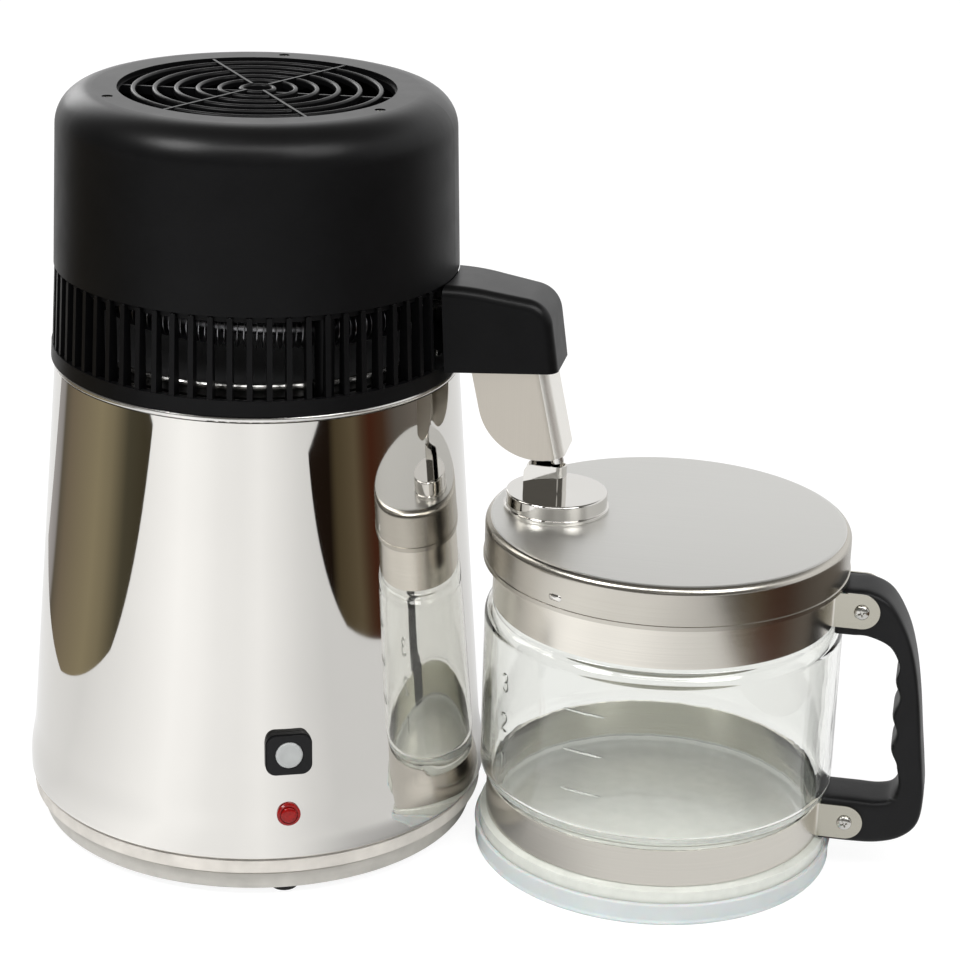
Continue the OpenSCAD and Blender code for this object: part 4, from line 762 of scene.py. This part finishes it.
# Raised measuring marks on the glass: a dash and a plain numeral at each height
MARK_ZS = (102.0, 82.0, 62.0)
DASH_TURN = (-113.8, -100.1)
DIGIT_TURN = -140.8
DIGIT_H = 8.5
DIGIT_DROP = 2.0
MARK_HALF = 0.65
MARK_PROUD = 0.55
MARK_LIFT = 0.04
MARK_TAPER = 0.35
MARK_SIDES = 10
DIGITS = {
    3: arc((0.0, 0.27), 0.23, 150, -70, 10) + arc((0.0, -0.22), 0.28, 80, -150, 12),
    2: arc((0.0, 0.24), 0.26, 165, -30, 10) + [(-0.28, -0.5), (0.30, -0.5)],
    1: [(-0.16, 0.32), (0.02, 0.5), (0.02, -0.5)],
}


def mark_path(points, slices=3):
    """A path of turn and height points on the glass, with more points between."""
    path = []
    for (a, b), (c, d) in zip(points, points[1:]):
        path += [(a + (c - a) * i / slices, b + (d - b) * i / slices) for i in range(slices)]
    return path + [points[-1]]


def emboss_marks():
    sides = MARK_SIDES
    paths = [mark_path([(turn, z) for turn in DASH_TURN], 12) for z in MARK_ZS]
    for z, stroke in zip(MARK_ZS, DIGITS.values()):
        middle = z - DIGIT_DROP
        paths.append(mark_path([(DIGIT_TURN + math.degrees(u * DIGIT_H / JUG_R), middle + v * DIGIT_H)
                                for u, v in stroke]))
    points, faces = [], []
    for path in paths:
        flat = [Vector((math.radians(turn) * JUG_R, z)) for turn, z in path]
        first = len(points)
        for i, here in enumerate(flat):
            ahead = (flat[min(i + 1, len(flat) - 1)] - flat[max(i - 1, 0)]).normalized()
            across = Vector((-ahead.y, ahead.x))
            thin = MARK_TAPER if i in (0, len(flat) - 1) else 1.0
            for k in range(sides):
                a = 2 * math.pi * k / sides
                spot = here + across * (MARK_HALF * thin * math.cos(a))
                r = JUG_R + MARK_LIFT + MARK_PROUD * thin * math.sin(a)
                points.append(polar(r, spot.x / JUG_R, spot.y, CARAFE_X))
        faces += closed_tube(first, len(points), sides)
    marks = mesh_piece("measuring_marks", points, faces, 60)
    rides(marks, "carafe", "jug_glass")


# Silicone pad under the glass
PAD_R = 86.8
PAD_H = 11.0
PAD_FLOOR = 4.0
PAD_BEAD = 1.2
PAD_BEAD_IN = 0.4
PAD_EDGE = 0.6
PAD_GAP = 0.3
PAD_CORNER = 2.0


def cast_pad():
    inside = JUG_FOOT_R + PAD_GAP
    outline = [(0, 0), (PAD_R - PAD_BEAD, 0), (PAD_R - PAD_BEAD_IN, PAD_BEAD),
               (PAD_R - PAD_BEAD, 2 * PAD_BEAD), (PAD_R, PAD_H - PAD_EDGE), (PAD_R - PAD_EDGE, PAD_H),
               (inside, PAD_H), (inside, PAD_FLOOR + PAD_CORNER), (JUG_FOOT_R - PAD_CORNER, PAD_FLOOR),
               (0, PAD_FLOOR)]
    pad = turned("cast_pad", rounded(outline, PAD_EDGE), CARAFE_X, 200, 40)
    rides(pad, "carafe", "silicone", "base_pad")


# Carafe lid
LID_R = 85.9
LID_TOP = 168.5
LID_T = 0.8
LID_EDGE_R = 4.0
SKIRT_Z = 148.2
LIP = 0.5
LIP_H = 2.2
LIP_STEP = 0.25
# Pill-shaped pip on the skirt
DIMPLE_TURN = -118.4
DIMPLE_Z = 154.6
DIMPLE_HALF = (3.6, 1.6)
DIMPLE_PROUD = 0.7
DIMPLE_SUNK = 0.1


def press_lid():
    edge = (LID_R - LID_EDGE_R, LID_TOP - LID_EDGE_R)
    outline = [(0, LID_TOP)] + arc(edge, LID_EDGE_R, 90, 0, 12)
    outline += [(LID_R, SKIRT_Z + LIP_H), (LID_R + LIP, SKIRT_Z + LIP_H - LIP_STEP), (LID_R + LIP, SKIRT_Z)]
    outline += [(LID_R + LIP - LID_T, SKIRT_Z), (LID_R - LID_T, SKIRT_Z + LIP_H)]
    outline += arc(edge, LID_EDGE_R - LID_T, 0, 90, 12) + [(0, LID_TOP - LID_T)]
    lid = turned("pressed_lid", outline[::-1], CARAFE_X, 200, 50)
    # The lid's sides take the darker steel, which is painted shade, and its level top the lighter one.
    two_tone(lid, "skirt_steel", "sheet_steel", lambda face: face.normal.z > LEVEL)
    rides(lid, "carafe_cover", "brushed_steel", "carafe_lid")
    press_dimple()


def press_dimple():
    """The pip, as rings that close in on its top."""
    rings, sides = 6, 32
    long, high = DIMPLE_HALF
    points = []
    for i in range(rings + 1):
        t = math.pi / 2 * i / rings
        for k in range(sides):
            a = 2 * math.pi * k / sides
            u = math.cos(t) * high * math.cos(a) + math.copysign(long - high, math.cos(a)) * math.cos(t)
            v = math.cos(t) * high * math.sin(a)
            r = LID_R - DIMPLE_SUNK + DIMPLE_PROUD * math.sin(t)
            turn = math.radians(DIMPLE_TURN) + u / LID_R
            points.append(polar(r, turn, DIMPLE_Z + v, CARAFE_X))
    faces = [tuple(range(sides))[::-1]] + tube_faces(0, len(points), sides)
    pip = mesh_piece("lid_pip", points, faces, 60)
    rides(pip, "carafe_cover", "polished_steel")


# Polished disc round the lid's inlet
DISC_R = 24.0
DISC_H = 8.9
DISC_FLANGE_R = 25.0
DISC_FLANGE_H = 1.8
DISC_EDGE = 1.0
DISC_SOFT = 0.3
DRAIN_R = 2.8


def turn_disc():
    low, edge = LID_TOP, DISC_EDGE
    outline = [(DRAIN_R, low), (DISC_FLANGE_R, low), (DISC_FLANGE_R, low + DISC_FLANGE_H),
               (DISC_R, low + DISC_FLANGE_H), (DISC_R, low + DISC_H - edge)]
    outline += arc((DISC_R - edge, low + DISC_H - edge), edge, 0, 90, 6)[1:] + [(DRAIN_R, low + DISC_H)]
    disc = turned("turned_disc", rounded(outline, DISC_SOFT), DRIP_X, 160, 40)
    rides(disc, "carafe_cover", "polished_steel", "inlet_disc")


# Carafe handle: stations from its upper root to its lower root, each an outer and an inner point
HANDLE_ROOT = 81.7
HANDLE_REACH = 129.5
HANDLE_TOP = 145.6
HANDLE_LOW = 15.8
HANDLE_UPPER_IN = 122.6
HANDLE_LOWER_IN = 38.8
HANDLE_HALF = 13.0
GRIP_HIGH = 110.6
GRIP_LOW = 56.8
FINGER_PITCH = 17.6
FINGER_RIDGE = 2.4
HANDLE_SQUARE = 0.28


def handle_stations():
    x, t, b, u, v = HANDLE_REACH, HANDLE_TOP, HANDLE_LOW, HANDLE_UPPER_IN, HANDLE_LOWER_IN
    root = HANDLE_ROOT
    outer = [(root, t), (root + 6, t + 0.2), (x - 32, t), (x - 22.5, t - 5), (x - 14.5, t - 18),
             (x - 9.4, t - 33.5), (x - 5.8, (t + b) / 2 + 12), (x - 3.2, (t + b) / 2 - 9), (x - 1.2, b + 40),
             (x, b + 26), (x - 1.8, b + 13), (x - 9, b + 5), (x - 20, b + 1), (x - 33, b), (root, b)]
    inner = [(root, u), (root + 8, u), (x - 32, u), (x - 22, u - 4), (x - 17, u - 12), (x - 15.5, u - 20),
             (x - 15.5, (u + v) / 2 + 8), (x - 15.5, (u + v) / 2 - 7), (x - 14, v + 20), (x - 12.5, v + 10),
             (x - 15, v + 2.5), (x - 22, v), (x - 32, v), (root + 8, v), (root, v)]
    return [(Vector(o), Vector(i)) for o, i in zip(outer, inner)]


def between(p, q, r, s, t):
    """Point between q and r on the smooth curve through p, q, r and s."""
    square, cube = 2 * p - 5 * q + 4 * r - s, 3 * q - p - 3 * r + s
    return 0.5 * (2 * q + t * (r - p) + t * t * square + t ** 3 * cube)


def squared(value, power):
    """The value's power with its own sign, which squares up a round section."""
    return math.copysign(abs(value) ** power, value)


def mould_handle():
    steps, sides = 12, 40
    stations = handle_stations()
    last = len(stations) - 1
    sections = []
    for i in range(last):
        around = [stations[max(i - 1, 0)], stations[i], stations[i + 1], stations[min(i + 2, last)]]
        for k in range(steps):
            sections.append([between(*(s[side] for s in around), k / steps) for side in (0, 1)])
    sections.append(list(stations[last]))
    points = []
    for outer, inner in sections:
        z = inner.y
        if GRIP_LOW < z < GRIP_HIGH:
            swell = FINGER_RIDGE * (1 - math.cos(2 * math.pi * (GRIP_HIGH - z) / FINGER_PITCH)) / 2
            inner = inner - Vector((swell, 0))
        middle, half = (outer + inner) / 2, (outer - inner) / 2
        for k in range(sides):
            a = 2 * math.pi * (k + 0.5) / sides
            spot = middle + squared(math.cos(a), HANDLE_SQUARE) * half
            points.append((CARAFE_X + spot.x, squared(math.sin(a), HANDLE_SQUARE) * HANDLE_HALF, spot.y))
    handle = mesh_piece("moulded_handle", points, closed_tube(0, len(points), sides), 60)
    handle.data.materials.append(FINISHES["grip_black"])
    rides(handle, "carafe", "black_plastic", "handle")


# Domed screws that hold the handle between the ears
EAR_SCREW_X = 93.5
EAR_ZS = (136.4, 27.3)
EAR_FACE = 14.35
SCREW_R = 2.0
SCREW_HEAD_R = 3.6
SCREW_HEAD_H = 2.2
SCREW_RIM = 0.5
SCREW_END = 16.75
CROSS_HALF = (2.3, 0.45)
CROSS_TAPER = 0.45
CROSS_FLOOR = 0.7
CROSS_TURNS = (20, 110)


def turn_screws():
    dome = [(SCREW_HEAD_R, 0), (SCREW_HEAD_R, SCREW_RIM)]
    dome += [(SCREW_HEAD_R * math.cos(t), SCREW_RIM + (SCREW_HEAD_H - SCREW_RIM) * math.sin(t))
             for t in (math.pi / 2 * k / 10 for k in range(1, 10))]
    outline = [(0, -EAR_FACE - SCREW_END), (SCREW_R, -EAR_FACE - SCREW_END), (SCREW_R, 0)]
    outline += dome + [(0, SCREW_HEAD_H)]
    long, half = CROSS_HALF
    plan = [(x * long, y * half) for x, y in SQUARE]
    corners = [(CROSS_TAPER * x, y, CROSS_FLOOR) for x, y in plan]
    corners += [(x, y, SCREW_HEAD_H + PAST) for x, y in plan]
    screws, slots = [], []
    for z in EAR_ZS:
        place = Matrix.Translation((CARAFE_X + EAR_SCREW_X, -EAR_FACE, z))
        seat = place @ Matrix.Rotation(math.pi / 2, 4, "X")
        screws.append(turned("screw", outline, steps=48, sharp_deg=40, seat=seat))
        for turn in CROSS_TURNS:
            spin = seat @ Matrix.Rotation(math.radians(turn), 4, "Z")
            slots.append(mesh_piece("slot", [spin @ Vector(c) for c in corners], closed_tube(0, 8, 4)))
    screws = carved(joined("domed_screws", screws), *slots)
    rides(screws, "carafe", "screw_steel", "handle_screws")


# Finned condenser
COIL_R = 72.0
COIL_TUBE_R = 3.0
COIL_Z = 263.7
COIL_TOP = 313.7
COIL_TURNS = 2.5
COIL_END = -12.75
COIL_STEPS = 72
FIN_R = 9.0
FIN_T = 0.35
FIN_PITCH = 2.6


class Tree:
    """A geometry node tree with named inputs for its sizes, given in millimetres."""

    def __init__(self, name, sizes):
        self.group = bpy.data.node_groups.new(name, "GeometryNodeTree")
        self.group.interface.new_socket("Geometry", in_out="INPUT", socket_type="NodeSocketGeometry")
        self.sizes = {}
        for key, value in sizes.items():
            socket = self.group.interface.new_socket(key, in_out="INPUT", socket_type="NodeSocketFloat")
            self.sizes[socket.identifier] = value * MM
        self.group.interface.new_socket("Geometry", in_out="OUTPUT", socket_type="NodeSocketGeometry")
        self.given = self.group.nodes.new("NodeGroupInput")
        self.result = self.group.nodes.new("NodeGroupOutput")

    def size(self, key):
        return self.given.outputs[key]

    def add(self, kind, settings=None, inputs=None, out=0):
        node = self.group.nodes.new(kind)
        for key, value in (settings or {}).items():
            setattr(node, key, value)
        for key, value in (inputs or {}).items():
            socket = node.inputs[key]
            for one in value if isinstance(value, list) else [value]:
                if isinstance(one, bpy.types.NodeSocket):
                    self.group.links.new(one, socket)
                else:
                    socket.default_value = one
        return node.outputs[out]

    def dress(self, geometry, finish):
        """Ends the tree in smooth plain meshes of the finish."""
        real = self.add("GeometryNodeRealizeInstances", {}, {"Geometry": geometry})
        smooth = self.add("GeometryNodeSetShadeSmooth", {}, {0: real})
        done = self.add("GeometryNodeSetMaterial", {}, {"Geometry": smooth, "Material": FINISHES[finish]})
        self.group.links.new(done, self.result.inputs[0])

    def grow(self, name, points, edges=()):
        """Runs the tree on some points and returns the plain mesh piece that it makes."""
        mesh = bpy.data.meshes.new(name + "_start")
        mesh.from_pydata(points, edges, [])
        start = placed(name + "_start", mesh)
        modifier = start.modifiers.new("grow", "NODES")
        modifier.node_group = self.group
        for identifier, value in self.sizes.items():
            modifier[identifier] = value
        grown = worked_in(start)
        grown.name = name
        bpy.data.objects.remove(start)
        return placed(name, grown)


def wind_condenser():
    tree = Tree("finned_coil", {
        "Tube radius": COIL_TUBE_R, "Fin radius": FIN_R, "Fin thickness": FIN_T, "Fin pitch": FIN_PITCH})
    path = tree.add("GeometryNodeMeshToCurve", {}, {"Mesh": tree.given.outputs[0]})
    ring = tree.add("GeometryNodeCurvePrimitiveCircle", {}, {
        "Resolution": 16, "Radius": tree.size("Tube radius")})
    tube = tree.add("GeometryNodeCurveToMesh", {}, {"Curve": path, "Profile Curve": ring, "Fill Caps": True})
    fin = tree.add("GeometryNodeMeshCylinder", {}, {
        "Vertices": 20, "Radius": tree.size("Fin radius"), "Depth": tree.size("Fin thickness")})
    spots = tree.add("GeometryNodeCurveToPoints", {"mode": "LENGTH"}, {
        "Curve": path, "Length": tree.size("Fin pitch")}, "Points")
    fins = tree.add("GeometryNodeInstanceOnPoints", {}, {
        "Points": spots, "Instance": fin, "Rotation": spots.node.outputs["Rotation"]})
    both = tree.add("GeometryNodeJoinGeometry", {}, {"Geometry": [tube, fins]})
    tree.dress(both, "fin_aluminium")
    steps = int(COIL_TURNS * COIL_STEPS)
    points = []
    for i in range(steps + 1):
        a = math.radians(COIL_END - 360 * COIL_TURNS * (1 - i / steps))
        z = COIL_TOP + (COIL_Z - COIL_TOP) * i / steps
        points.append(polar(COIL_R * MM, a, z * MM))
    coil = tree.grow("finned_condenser", points, [(i, i + 1) for i in range(steps)])
    coil.data.set_sharp_from_angle(angle=math.radians(40))
    rides(coil, "head", "fin_aluminium", "condenser_coil")


# Rounded tops of the vent ribs
RIB_COUNT = 68
RIB_W = 2.5
RIB_TOP = DOME_Z - 0.8
CAP_R = DOME_R - 2.1
CAP_DEPTH = 3.8
CAP_HEIGHT = 1.3
ARM_ANGLE = 14.4


def cap_ribs():
    tree = Tree("rib_caps", {"Width": RIB_W, "Depth": CAP_DEPTH, "Height": CAP_HEIGHT})
    shape = tree.add("GeometryNodeMeshUVSphere", {}, {"Segments": 12, "Rings": 8, "Radius": 0.5})
    scale = tree.add("ShaderNodeCombineXYZ", {}, {
        0: tree.size("Depth"), 1: tree.size("Width"), 2: tree.size("Height")})
    spot = tree.add("GeometryNodeInputPosition")
    flat = tree.add("ShaderNodeVectorMath", {"operation": "MULTIPLY"}, {0: spot, 1: (1, 1, 0)})
    turn = tree.add("FunctionNodeAlignRotationToVector", {"axis": "X"}, {"Vector": flat})
    caps = tree.add("GeometryNodeInstanceOnPoints", {}, {
        "Points": tree.given.outputs[0], "Instance": shape, "Rotation": turn, "Scale": scale})
    tree.dress(caps, "black_plastic")
    points = []
    for i in range(RIB_COUNT):
        deg = (i + 0.5) * 360 / RIB_COUNT
        if min(deg, 360 - deg) > ARM_ANGLE:
            points.append(polar(CAP_R * MM, math.radians(deg), RIB_TOP * MM))
    caps = tree.grow("rib_caps", points)
    rides(caps, "head", "black_plastic")


# Spout arm
ARM_TOP = 278.2
ARM_BOTTOM = 237.1
ARM_TIP_TOP = 273.0
ARM_TIP_BOTTOM = 239.9
ARM_END = 146.06
ARM_HALF = 22.5
ARM_TIP_HALF = 18.0
ARM_EDGE = 5.5
ARM_ROOT = 82.4
ARM_KNEE = 104.4
ARM_BROW = (136.3, 267.5)
ARM_CORNER = 2.5
BROW_IN = 0.6
ARM_WALL = 2.6
ARM_ROUND = 6.0
KNEE_ROUND = 9.0
CAVITY_HALF = 16.15
FIT = 0.15


def bend(before, corner, after, steps=12):
    """Points of a soft corner between two points."""
    spots = [i / steps for i in range(steps + 1)]
    return [(1 - t) ** 2 * before + 2 * t * (1 - t) * corner + t * t * after for t in spots]


def arm_path():
    """Points of the arm's outline, drawn in by its edge radius, each with the way that it faces."""
    start = Vector((ARM_ROOT, ARM_TOP - ARM_EDGE))
    knee = Vector((ARM_KNEE, ARM_TOP - ARM_EDGE))
    brow = Vector(ARM_BROW)
    low = Vector((ARM_END - ARM_EDGE, ARM_TIP_BOTTOM))
    along = (brow - Vector((ARM_CORNER, 0)) - knee).normalized()
    down = (low - brow + Vector((0, ARM_CORNER))).normalized()
    path = [start + (knee - start) * (i / 4) for i in range(2)]
    path += bend(knee - Vector((KNEE_ROUND, 0)), knee, knee + along * KNEE_ROUND, 8)
    path += bend(brow - along * ARM_ROUND, brow, brow + down * ARM_ROUND)
    after = path[-1]
    path += [after + (low - after) * (i / 5) for i in range(1, 6)]
    facing = []
    for i in range(len(path)):
        way = (path[min(i + 1, len(path) - 1)] - path[max(i - 1, 0)]).normalized()
        facing.append(Vector((-way.y, way.x)))
    facing[-1] = Vector((1, 0))
    return list(zip(path, facing))


def arm_half(x):
    """Half width of the arm, which narrows from its root to its end."""
    return ARM_HALF + (ARM_TIP_HALF - ARM_HALF) * (x - ARM_ROOT) / (ARM_END - ARM_EDGE - ARM_ROOT)


def arm_floor(x):
    """Height of the arm's flat underside."""
    return ARM_BOTTOM + (ARM_TIP_BOTTOM - ARM_BOTTOM) * (x - ARM_ROOT) / (ARM_END - ARM_ROOT)


def mould_arm():
    steps = 8
    turns = [math.pi / 2 * (k / steps - 1) for k in range(steps + 1)]
    across = [(t, -1) for t in turns] + [(t + math.pi / 2, 1) for t in turns]
    wide = len(across)
    points = []
    for here, out in arm_path():
        flat = arm_half(here.x) - ARM_EDGE
        for t, side in across:
            spot = here + out * (ARM_EDGE * math.cos(t))
            points.append((spot.x, side * flat + ARM_EDGE * math.sin(t), max(spot.y, arm_floor(spot.x))))
    rows = len(points) // wide
    lowest = (rows - 1) * wide
    points[lowest:] = [(x, y, arm_floor(x)) for x, y, z in points[lowest:]]
    faces = []
    for i in range(rows - 1):
        for k in range(wide - 1):
            a = i * wide + k
            faces.append((a, a + 1, a + wide + 1, a + wide))
    left, right = len(points), len(points) + 1
    points += [(ARM_ROOT, -ARM_HALF, ARM_BOTTOM), (ARM_ROOT, ARM_HALF, ARM_BOTTOM)]
    faces.append(tuple(range(0, rows * wide, wide)) + (left,))
    faces.append((right,) + tuple(range(rows * wide - 1, 0, -wide)))
    faces.append((left, right) + tuple(range(wide - 1, -1, -1)))
    faces.append((right, left) + tuple(range((rows - 1) * wide, rows * wide)))
    arm = mesh_piece("moulded_arm", points, faces, 30)
    brow_x, brow_z = ARM_BROW
    roof = ARM_TOP - ARM_WALL - PAST
    inner_end = ARM_END - ARM_WALL
    cavity = [(ARM_ROOT - PAST, ARM_BOTTOM - PAST), (ARM_ROOT - PAST, roof), (ARM_KNEE, roof),
              (brow_x - ARM_WALL, ARM_TIP_TOP - ARM_WALL - PAST),
              (brow_x + ARM_EDGE - ARM_WALL - BROW_IN, brow_z - ARM_CORNER), (inner_end, ARM_TIP_BOTTOM),
              (inner_end, ARM_BOTTOM - PAST)]
    points = [(x, y, z) for y in (-CAVITY_HALF, CAVITY_HALF) for x, z in cavity]
    hollow = mesh_piece("arm_hollow", points, closed_tube(0, len(points), len(cavity)))
    ring = [(0, VENT_Z - PAST), (VENT_R + FIT, VENT_Z - PAST), (VENT_R + FIT, VENT_Z),
            (DOME_R + FIT, DOME_Z), (DOME_R + FIT, DOME_Z + PAST), (0, DOME_Z + PAST)]
    for piece in (arm, hollow):
        faced_out(piece)
    arm = carved(arm, hollow, turned("arm_seat", ring, 0, 360))
    rides(arm, "head", "black_plastic", "spout_arm")


# Plastic base under the shell
PLATE_R = 103.0
BASE_FOOT_R = 106.0
BASE_TOP_R = 110.5
BASE_STEP_H = 8.2
BASE_GROOVE = 1.6
BASE_WALL = 3.0
SPIGOT_IN = 1.5
SPIGOT_R = SHELL_BOTTOM_R - SPIGOT_IN - FIT
SPIGOT_H = 10.0
SHELF_R = 86.3
SHELF_Z = 5.8
BASE_FLARE = 1.0
BASE_SOFT = 0.5


def mould_base():
    step = BASE_Z + BASE_STEP_H
    groove_r = BASE_FOOT_R - BASE_SOFT
    outline = [(PLATE_R + FIT, BASE_Z), (BASE_FOOT_R, BASE_Z), (BASE_FOOT_R + BASE_FLARE, step),
               (groove_r, step), (groove_r, step + BASE_GROOVE),
               (BASE_TOP_R, step + BASE_GROOVE + BASE_SOFT),
               (BASE_TOP_R, SHELL_Z), (SPIGOT_R, SHELL_Z), (SPIGOT_R, SHELL_Z + SPIGOT_H),
               (SPIGOT_R - BASE_WALL, SHELL_Z + SPIGOT_H), (SPIGOT_R - BASE_WALL, step + BASE_WALL),
               (PLATE_R - BASE_WALL, step), (PLATE_R - BASE_WALL, SHELF_Z + BASE_WALL),
               (SHELF_R, SHELF_Z + BASE_WALL), (SHELF_R, SHELF_Z), (PLATE_R + FIT, SHELF_Z)]
    base = turned("moulded_base", rounded(outline, BASE_SOFT, 3), 0, 240, 40)
    rides(base, "base", "base_plastic", "base_ring")


# Polished shell: a cone that swells into a soft bead and rolls in under itself
SHELL_TILT = 4.44
SHELL_WALL = 0.8
BEAD_R = 112.0
BEAD_Z = 28.5
BEAD_ROLL = 4.0
BEAD_UNDER = -65
SWELL_Z = 50.0
SWELL_EASE = 0.4
# Heights of the wall's rows, close together round the openings
SHELL_ROWS = (*range(53, 106, 3), 125, 150, 175, 200, 215, SHELL_TOP)
# Openings at the back: their height on the shell, then the width, height and turn of each
INLET_Z = 46.0
INLET_HOLE = (28.3, 22.3, 90)
SOCKET_HOLE = (18.0, 11.0, 116)
# How deep the cuts reach on either side of the steel
HOLE_HALF = 6.0
OPENING_REACH = (-9.0, 5.0)


def wall_r(z):
    """Radius of the shell's cone at a height."""
    return SHELL_TOP_R + (SHELL_TOP - z) * math.tan(math.radians(SHELL_TILT))


def block(name, long, wide, low, high, at):
    """A plain block between two heights of a frame, to cut with."""
    points = [at @ Vector((x * long / 2, y * wide / 2, z)) for z in (low, high) for x, y in SQUARE]
    return mesh_piece(name, points, closed_tube(0, 8, 4))


def spin_shell():
    roll = (BEAD_R - BEAD_ROLL, SHELL_Z + BEAD_ROLL)
    start, end = Vector((BEAD_R, BEAD_Z)), Vector((wall_r(SWELL_Z), SWELL_Z))
    ease = (SWELL_Z - BEAD_Z) * SWELL_EASE
    one, two = start + Vector((0, ease)), Vector((wall_r(SWELL_Z - ease), SWELL_Z - ease))
    outline = arc(roll, BEAD_ROLL, BEAD_UNDER, 0, 10)
    for i in range(17):
        t = i / 16
        outline.append(tuple((1 - t) ** 3 * start + 3 * t * (1 - t) ** 2 * one
                             + 3 * t * t * (1 - t) * two + t ** 3 * end))
    outline += [(wall_r(z), z) for z in SHELL_ROWS]
    outline += [(r - SHELL_WALL, z) for r, z in ((SHELL_TOP_R, SHELL_TOP), end, start)]
    outline += arc(roll, BEAD_ROLL - SHELL_WALL, 0, BEAD_UNDER, 6)
    shell = turned("spun_shell", outline, steps=360, sharp_deg=40)
    deep = HOLE_HALF
    holes = [turned("hole", [(0, -deep), (r, -deep), (r, deep), (0, deep)], steps=48, seat=panel_frame(z))
             for r, z in ((BEZEL_HOLE_R, BUTTON_Z), (LAMP_NECK_R + FIT, LAMP_Z))]
    holes += [block("opening", high, wide, *OPENING_REACH, panel_frame(INLET_Z, turn))
              for wide, high, turn in (INLET_HOLE, SOCKET_HOLE)]
    shell = carved(shell, *holes)
    rides(shell, "base", "polished_steel", "outer_shell")


# Panel
PANEL_TURN = -67.4
BEZEL_HOLE_R = 7.6
BUTTON_Z = 75.0
BUTTON_R = 6.25
BUTTON_FACE = 5.1
BUTTON_BACK = -3.2
BUTTON_EDGE = 0.8
BUTTON_DISH = 0.7
STEM_R = 3.0
STEM_BACK = -6.5
LAMP_Z = 44.5
LAMP_R = 5.5
LAMP_CAP_R = 3.7
LAMP_NECK_R = 4.0
LAMP_BACK = -6.0
LAMP_SEAT = -0.35
LAMP_SOFT = (0.2, 0.1)
LAMP_COLLAR = 1.8
LAMP_CHAMFER = 0.6
LAMP_GAP = (0.5, 0.35)
LAMP_GROOVE = 1.1
LAMP_RIM = 2.2
LAMP_DOME = 0.75


def panel_frame(z, turn=PANEL_TURN):
    """A frame on the shell, its own z axis pointing straight out of the steel."""
    out = Matrix.Rotation(math.radians(90 - SHELL_TILT), 4, "Y")
    return Matrix.Rotation(math.radians(turn), 4, "Z") @ Matrix.Translation((wall_r(z), 0, z)) @ out


def press_button():
    face, back, edge = BUTTON_FACE, BUTTON_BACK, BUTTON_EDGE
    dish_r = BUTTON_R - 2 * edge
    outline = [(0, STEM_BACK), (STEM_R, STEM_BACK), (STEM_R, back), (BUTTON_R, back)]
    outline += [(BUTTON_R, face - edge)]
    outline += arc((BUTTON_R - edge, face - edge), edge, 0, 90)[1:] + [(dish_r, face)]
    outline += [(r, face - BUTTON_DISH * (1 - (r / dish_r) ** 2)) for r in (4.0, 3.2, 2.2, 1.1, 0)]
    cap = turned("button_cap", outline, steps=72, sharp_deg=40, seat=panel_frame(BUTTON_Z))
    rides(cap, "button", "button_plastic", "push_button")


def fit_lamp():
    soft, soft_z = LAMP_SOFT
    gap_top, gap_low = LAMP_GAP
    outline = [(0, LAMP_BACK), (LAMP_NECK_R, LAMP_BACK), (LAMP_NECK_R, LAMP_SEAT),
               (LAMP_R - soft, LAMP_SEAT), (LAMP_R, soft_z), (LAMP_R, LAMP_COLLAR - LAMP_CHAMFER),
               (LAMP_R - LAMP_CHAMFER, LAMP_COLLAR), (LAMP_CAP_R + gap_top, LAMP_COLLAR),
               (LAMP_CAP_R + gap_low, LAMP_GROOVE), (LAMP_CAP_R, LAMP_GROOVE), (LAMP_CAP_R, LAMP_RIM)]
    outline += [(LAMP_CAP_R * math.cos(t * math.pi / 16), LAMP_RIM + LAMP_DOME * math.sin(t * math.pi / 16))
                for t in range(1, 9)]
    outline[-1] = (0, outline[-1][1])
    lens = turned("lamp_cap", outline, steps=72, sharp_deg=40, seat=panel_frame(LAMP_Z))
    rides(lens, "base", "lamp_red", "lamp_lens")


bpy.context.scene.view_settings.view_transform = "Standard"
place_camera()
lay_floor()
Sky()
for lamp, values in LAMPS.items():
    hang_lamp(lamp, *values)
dress_solids()
blow_jug()
emboss_marks()
cast_pad()
press_lid()
turn_disc()
mould_handle()
turn_screws()
wind_condenser()
cap_ribs()
mould_arm()
mould_base()
spin_shell()
press_button()
fit_lamp()
